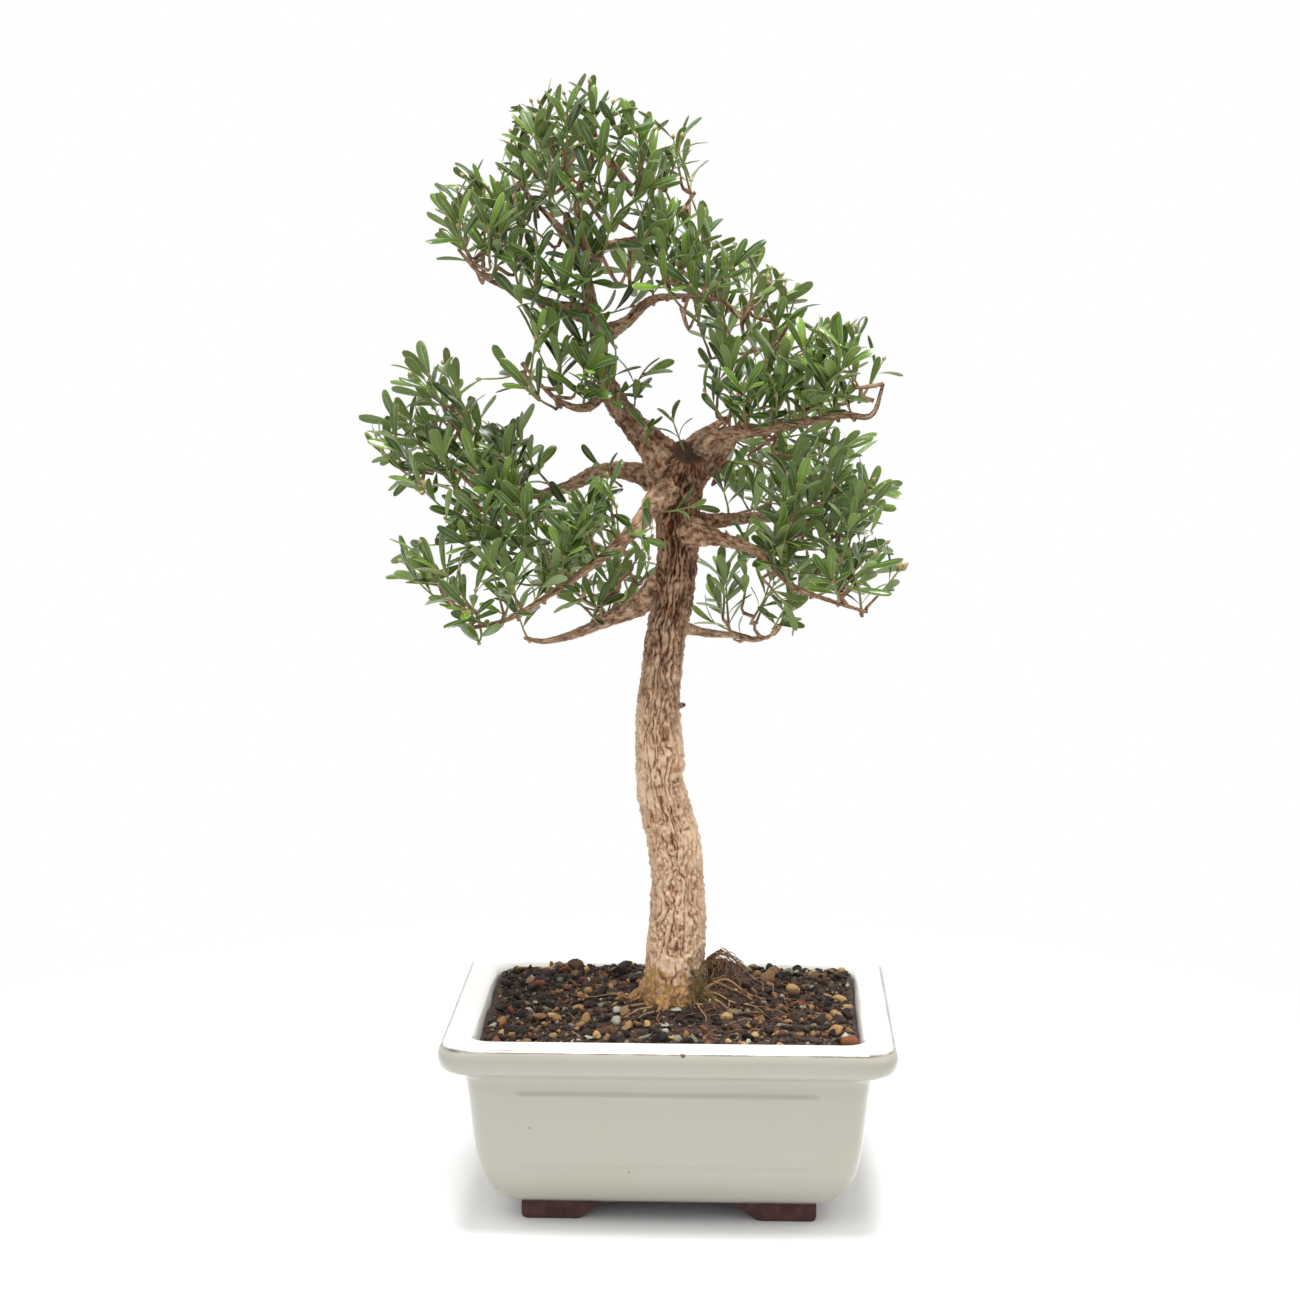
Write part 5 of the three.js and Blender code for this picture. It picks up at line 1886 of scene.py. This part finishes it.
    def snag(self, cast: Cast) -> None:
        """Adds the short snag on the trunk."""
        tip = self.sight.place(*SNAG_PX, SNAG_DEPTH)
        rows = [(tip[0] - 3, -8, tip[2] - 2, 1.8), (tip[0] - 1, -12, tip[2] - 1, 1.6), (*tip, 1.1)]
        Stem(rows, SNAG_KEY, 12, 0.8, cleft=0.3, end=True).add_to(cast, self.shift)

    def sprigs(self) -> list[Shoot]:
        """Short shoots that stand on bare wood."""
        stems = [TRUNK, *LIMBS.values()]
        bare = np.vstack([Route([row[:3] for row in rows]).spaced(60) for rows in stems])
        found = []
        for number, (right_px, down_px, depth) in enumerate(SPRIGS_PX):
            tip = self.sight.place(right_px, down_px, depth)
            root = bare[np.argmin(norm(bare - tip, axis=1))]
            way = unit(unit(tip - root) + 0.5 * UP)
            found.append(Shoot(SPRIG_KEYS + number, root, tip - way * SHOOT_LENGTH * 0.85, way))
        return found

    def covering(self) -> list[Shoot]:
        """Shoots that stand on the limbs where foliage hides them."""
        found = []
        for limb, (first, last, count) in COVERED.items():
            route = Route([row[:3] for row in LIMBS[limb]])
            for root in route.at(route.time_of(np.linspace(first, last, count))):
                number = len(found)
                strays = np.array([drift(0.75, number, axis, 77) for axis in range(3)])
                way = unit(0.3 * unit(self.sight.eye() - root) + 0.8 * UP + strays)
                shoot = Shoot(COVER_KEYS + number, root, root - way * 3, way)
                if len(self.leaves_of(shoot)) >= self.fewest_leaves:
                    found.append(shoot)
        return found

    def leaves_of(self, shoot: Shoot) -> list[Leaf]:
        """A further shoot's leaves, where they show inside the crown's outline."""
        leaves = []
        for place, grown in enumerate(shoot.seats(self.extra_pairs)):
            seat = replace(grown, size=grown.size * self.extra_size)
            key = shoot.owner * 20 + place
            young = 0.1 + 0.6 * draw(key, 3) ** 3 + (0.3 if seat.pair >= PAIRS_PER_SHOOT else 0)
            leaf = seat.leaf(drift(0.5, key, 6), key, young, float(draw(key, 8) > self.dry_from))
            if self.sight.in_pads(leaf.middle()):
                leaves.append(leaf)
        return leaves


# Studio

@dataclass
class Studio:
    """White surroundings, soft lights and a pale floor that melts into them."""

    sky: float = 1.0
    key_watts: float = 5
    fill_watts: float = 2
    top_watts: float = 72
    crown_m: float = 0.3
    floor_reach_m: float = 30
    soot: Colour = (0.0, 0.0, 0.0, 1.0)
    paper: Colour = (0.9, 0.9, 0.9, 1.0)
    white: Colour = (1.0, 1.0, 1.0, 1.0)
    fade_m: Point2 = (0.14, 0.6)

    def world(self) -> None:
        """Sets even white light all round."""
        made = bpy.data.worlds.new("white_surroundings")
        made.use_nodes = True
        background = made.node_tree.nodes["Background"]
        background.inputs["Color"].default_value = self.white
        background.inputs["Strength"].default_value = self.sky
        bpy.context.scene.world = made

    def light(self, name: str, place: Sequence[float], size: float, watts: float) -> None:
        """Adds a square soft light that looks at the crown."""
        data = bpy.data.lights.new(name, "AREA")
        data.size = size
        data.energy = watts
        aim = unit(self.crown_m * UP - np.array(place))
        side = unit(np.cross(aim, UP))
        stand(name, data).matrix_world = looking(side, np.cross(side, aim), aim, place)

    def floor(self) -> Piece:
        """Makes the floor, which glows as white as the surroundings away from the pot."""
        paint = Paint("pale_studio_floor")
        place = paint.place()
        away = paint.node("ShaderNodeVectorMath", {"operation": "LENGTH"}, {0: place}, out="Value")
        glow = away.ease(*self.fade_m)
        finish = paint.finish(
            Base_Color=paint.mix(glow, self.paper, self.soot),
            Roughness=0.7,
            Specular_IOR_Level=0.0,
            Emission_Color=paint.mix(glow, self.soot, self.white),
            Emission_Strength=self.sky,
        )
        reach = self.floor_reach_m / MM
        cast = Cast()
        steps = np.linspace(-reach, reach, 5)
        x, y = np.meshgrid(steps, steps)
        cast.add(np.stack([x, y, 0 * x], -1).reshape(-1, 3), [sheet_faces(5, 5)])
        return cast.build("studio_floor", [finish], 0)

    def build(self) -> Piece:
        """Sets the whole studio up."""
        bpy.context.scene.view_settings.view_transform = "Standard"
        self.world()
        self.light("key_light", (-0.7, -1.4, 1.9), 1.2, self.key_watts)
        self.light("fill_light", (1.5, -1.0, 1.0), 1.2, self.fill_watts)
        self.light("top_light", (0.05, -0.25, 2.4), 0.9, self.top_watts)
        return self.floor()


class Slot(Enum):
    """Material slot names passed with the finished pieces, which nothing reads."""

    GLAZE = "glaze"
    SOIL = "soil"
    BARK = "bark"
    LEAF = "leaf"


def hand_in(piece: Piece, slot: Slot, *nodes: str) -> None:
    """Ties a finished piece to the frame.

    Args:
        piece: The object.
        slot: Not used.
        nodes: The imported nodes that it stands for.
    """
    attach(piece, "root")
    if nodes:
        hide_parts(*nodes)
    LOG.info("%s: %d faces", piece.name, len(piece.data.polygons))


def node_points(piece: Piece, shift: Array) -> Array:
    """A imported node's points, in the tree's own frame."""
    flat = np.zeros(len(piece.data.vertices) * 3, np.float32)
    piece.data.vertices.foreach_get("co", flat)
    return flat.reshape(-1, 3) / MM - shift


def build_pot(nodes: dict, sight: Sight, shift: Array, centre: Array) -> Pot:
    """Makes the pot and finishes its drain screens."""
    pot = Pot(centre)
    pinhole = (sight.place(*PINHOLE_PX, FRONT_FACE_DEPTH) + shift) * MM
    chip = (sight.place(*CHIP_PX, FRONT_FACE_DEPTH) + shift) * MM
    glaze = Glaze(pinhole_m=tuple(map(float, pinhole)), chip_m=tuple(map(float, chip))).material()
    hand_in(pot.build(glaze), Slot.GLAZE, "pot")
    plastic = Plastic().material()
    for side in ("left", "right"):
        screen = nodes[f"drain_screen_{side}"]
        screen.data.materials.clear()
        screen.data.materials.append(plastic)
        LOG.info("%s: finish only", screen.name)
    return pot


def build_soil(pot: Pot, sight: Sight, shift: Array) -> None:
    """Makes the soil with all that lies on it."""
    bed = SoilBed(pot)
    stone = Grit().material()
    hand_in(bed.bed(Earth().material()), Slot.SOIL, "soil")
    layers = (
        ("soil_stones", stone, bed.stone_pitch, bed.stone_size, True),
        ("soil_grit", stone, bed.grit_pitch, bed.grit_size, False),
        ("humus_crumbs", Earth("humus_crumbs").material(), bed.crumb_pitch, bed.crumb_size, False),
    )
    for name, finish, pitch, sizes, fine in layers:
        hand_in(bed.stones(finish, name, pitch, sizes, fine), Slot.SOIL, "soil")
    hand_in(bed.roots(Fibre().material()), Slot.SOIL, "soil")
    place = sight.place(*PEBBLE_PX, PEBBLE_FROM_FRONT - pot.depth / 2) + shift - pot.centre
    hand_in(bed.pebble(stone, float(place[0]), float(place[1])), Slot.SOIL, "soil")


def build_tree(nodes: dict, sight: Sight, shift: Array) -> None:
    """Makes the wood and all the foliage."""
    tree = Tree(shift, sight)
    names = sorted(name for name in nodes if name.startswith("leaf_spray_"))
    packed = [node_points(nodes[name], shift) for name in names]
    kept = tree.kept_shoots(packed)
    further = tree.further_shoots(kept)
    further["over_limbs"] = tree.covering()
    added = [shoot for shoots in further.values() for shoot in shoots]
    limb_bark = Bark(painted_shade_and_streaks=0.76, name="flaky_limb_bark")
    for piece in tree.wood([*kept, *added], Bark().material(), limb_bark.material()):
        hand_in(piece, Slot.BARK, "trunk_and_limbs")
    finishes = [Blade().material(), Stalk().material()]
    foliage = Foliage(shift)
    total = 0
    for name, points, shoot in zip(names, packed, kept):
        cast = Cast()
        leaves = tree.kept_leaves(shoot, points)
        total += len(leaves)
        foliage.add_shoot(cast, shoot, leaves)
        hand_in(cast.build(name.replace("leaf_spray", "boxwood_shoot"), finishes), Slot.LEAF, name)
    LOG.info("leaves on the packed shoots: %d", total)
    cast = Cast()
    for shoot in tree.sprigs():
        seats = list(shoot.seats(PAIRS_PER_SHOOT))[2:]
        small = [replace(seat, size=seat.size * tree.sprig_size) for seat in seats]
        leaves = [seat.leaf(0.0, shoot.owner * 20 + i, 0.3) for i, seat in enumerate(small)]
        foliage.add_shoot(cast, shoot, leaves)
    tips = [(shoot.stalk()[2], shoot.way) for shoot in [*kept, *added]]
    shown = np.array([sight.pixel(tip) for tip, _ in tips])
    for mark in BUD_CLUSTERS_PX:
        tip, way = tips[int(np.argmin(norm(shown - mark, axis=1)))]
        for number in range(tree.buds_per_cluster):
            spread = np.array([drift(0.9, mark[0], number, axis) for axis in range(3)])
            foliage.add_bud(cast, tip + spread * tree.bud_spread, unit(way + spread), 1.25)
    hand_in(cast.build("sprigs_and_bud_clusters", finishes), Slot.LEAF)
    for pad, shoots in further.items():
        cast = Cast()
        count = 0
        for shoot in shoots:
            leaves = tree.leaves_of(shoot)
            count += len(leaves)
            foliage.add_shoot(cast, shoot, leaves)
        if count:
            hand_in(cast.build(f"further_shoots_{pad}", finishes), Slot.LEAF)
            LOG.info("further leaves in %s: %d on %d shoots", pad, count, len(shoots))


def main() -> None:
    """Builds everything in order."""
    logging.basicConfig(level=logging.INFO, format="%(message)s")
    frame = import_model()
    nodes = frame["nodes"]
    low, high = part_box("pot")
    centre = np.array([low[0] + high[0], low[1] + high[1], 0]) / 2 / MM
    shift = TREE_AT + centre
    sight = Sight()
    pot = build_pot(nodes, sight, shift, centre)
    build_soil(pot, sight, shift)
    build_tree(nodes, sight, shift)
    Studio().build()
    sight.camera(shift)


if __name__ == "__main__":
    main()
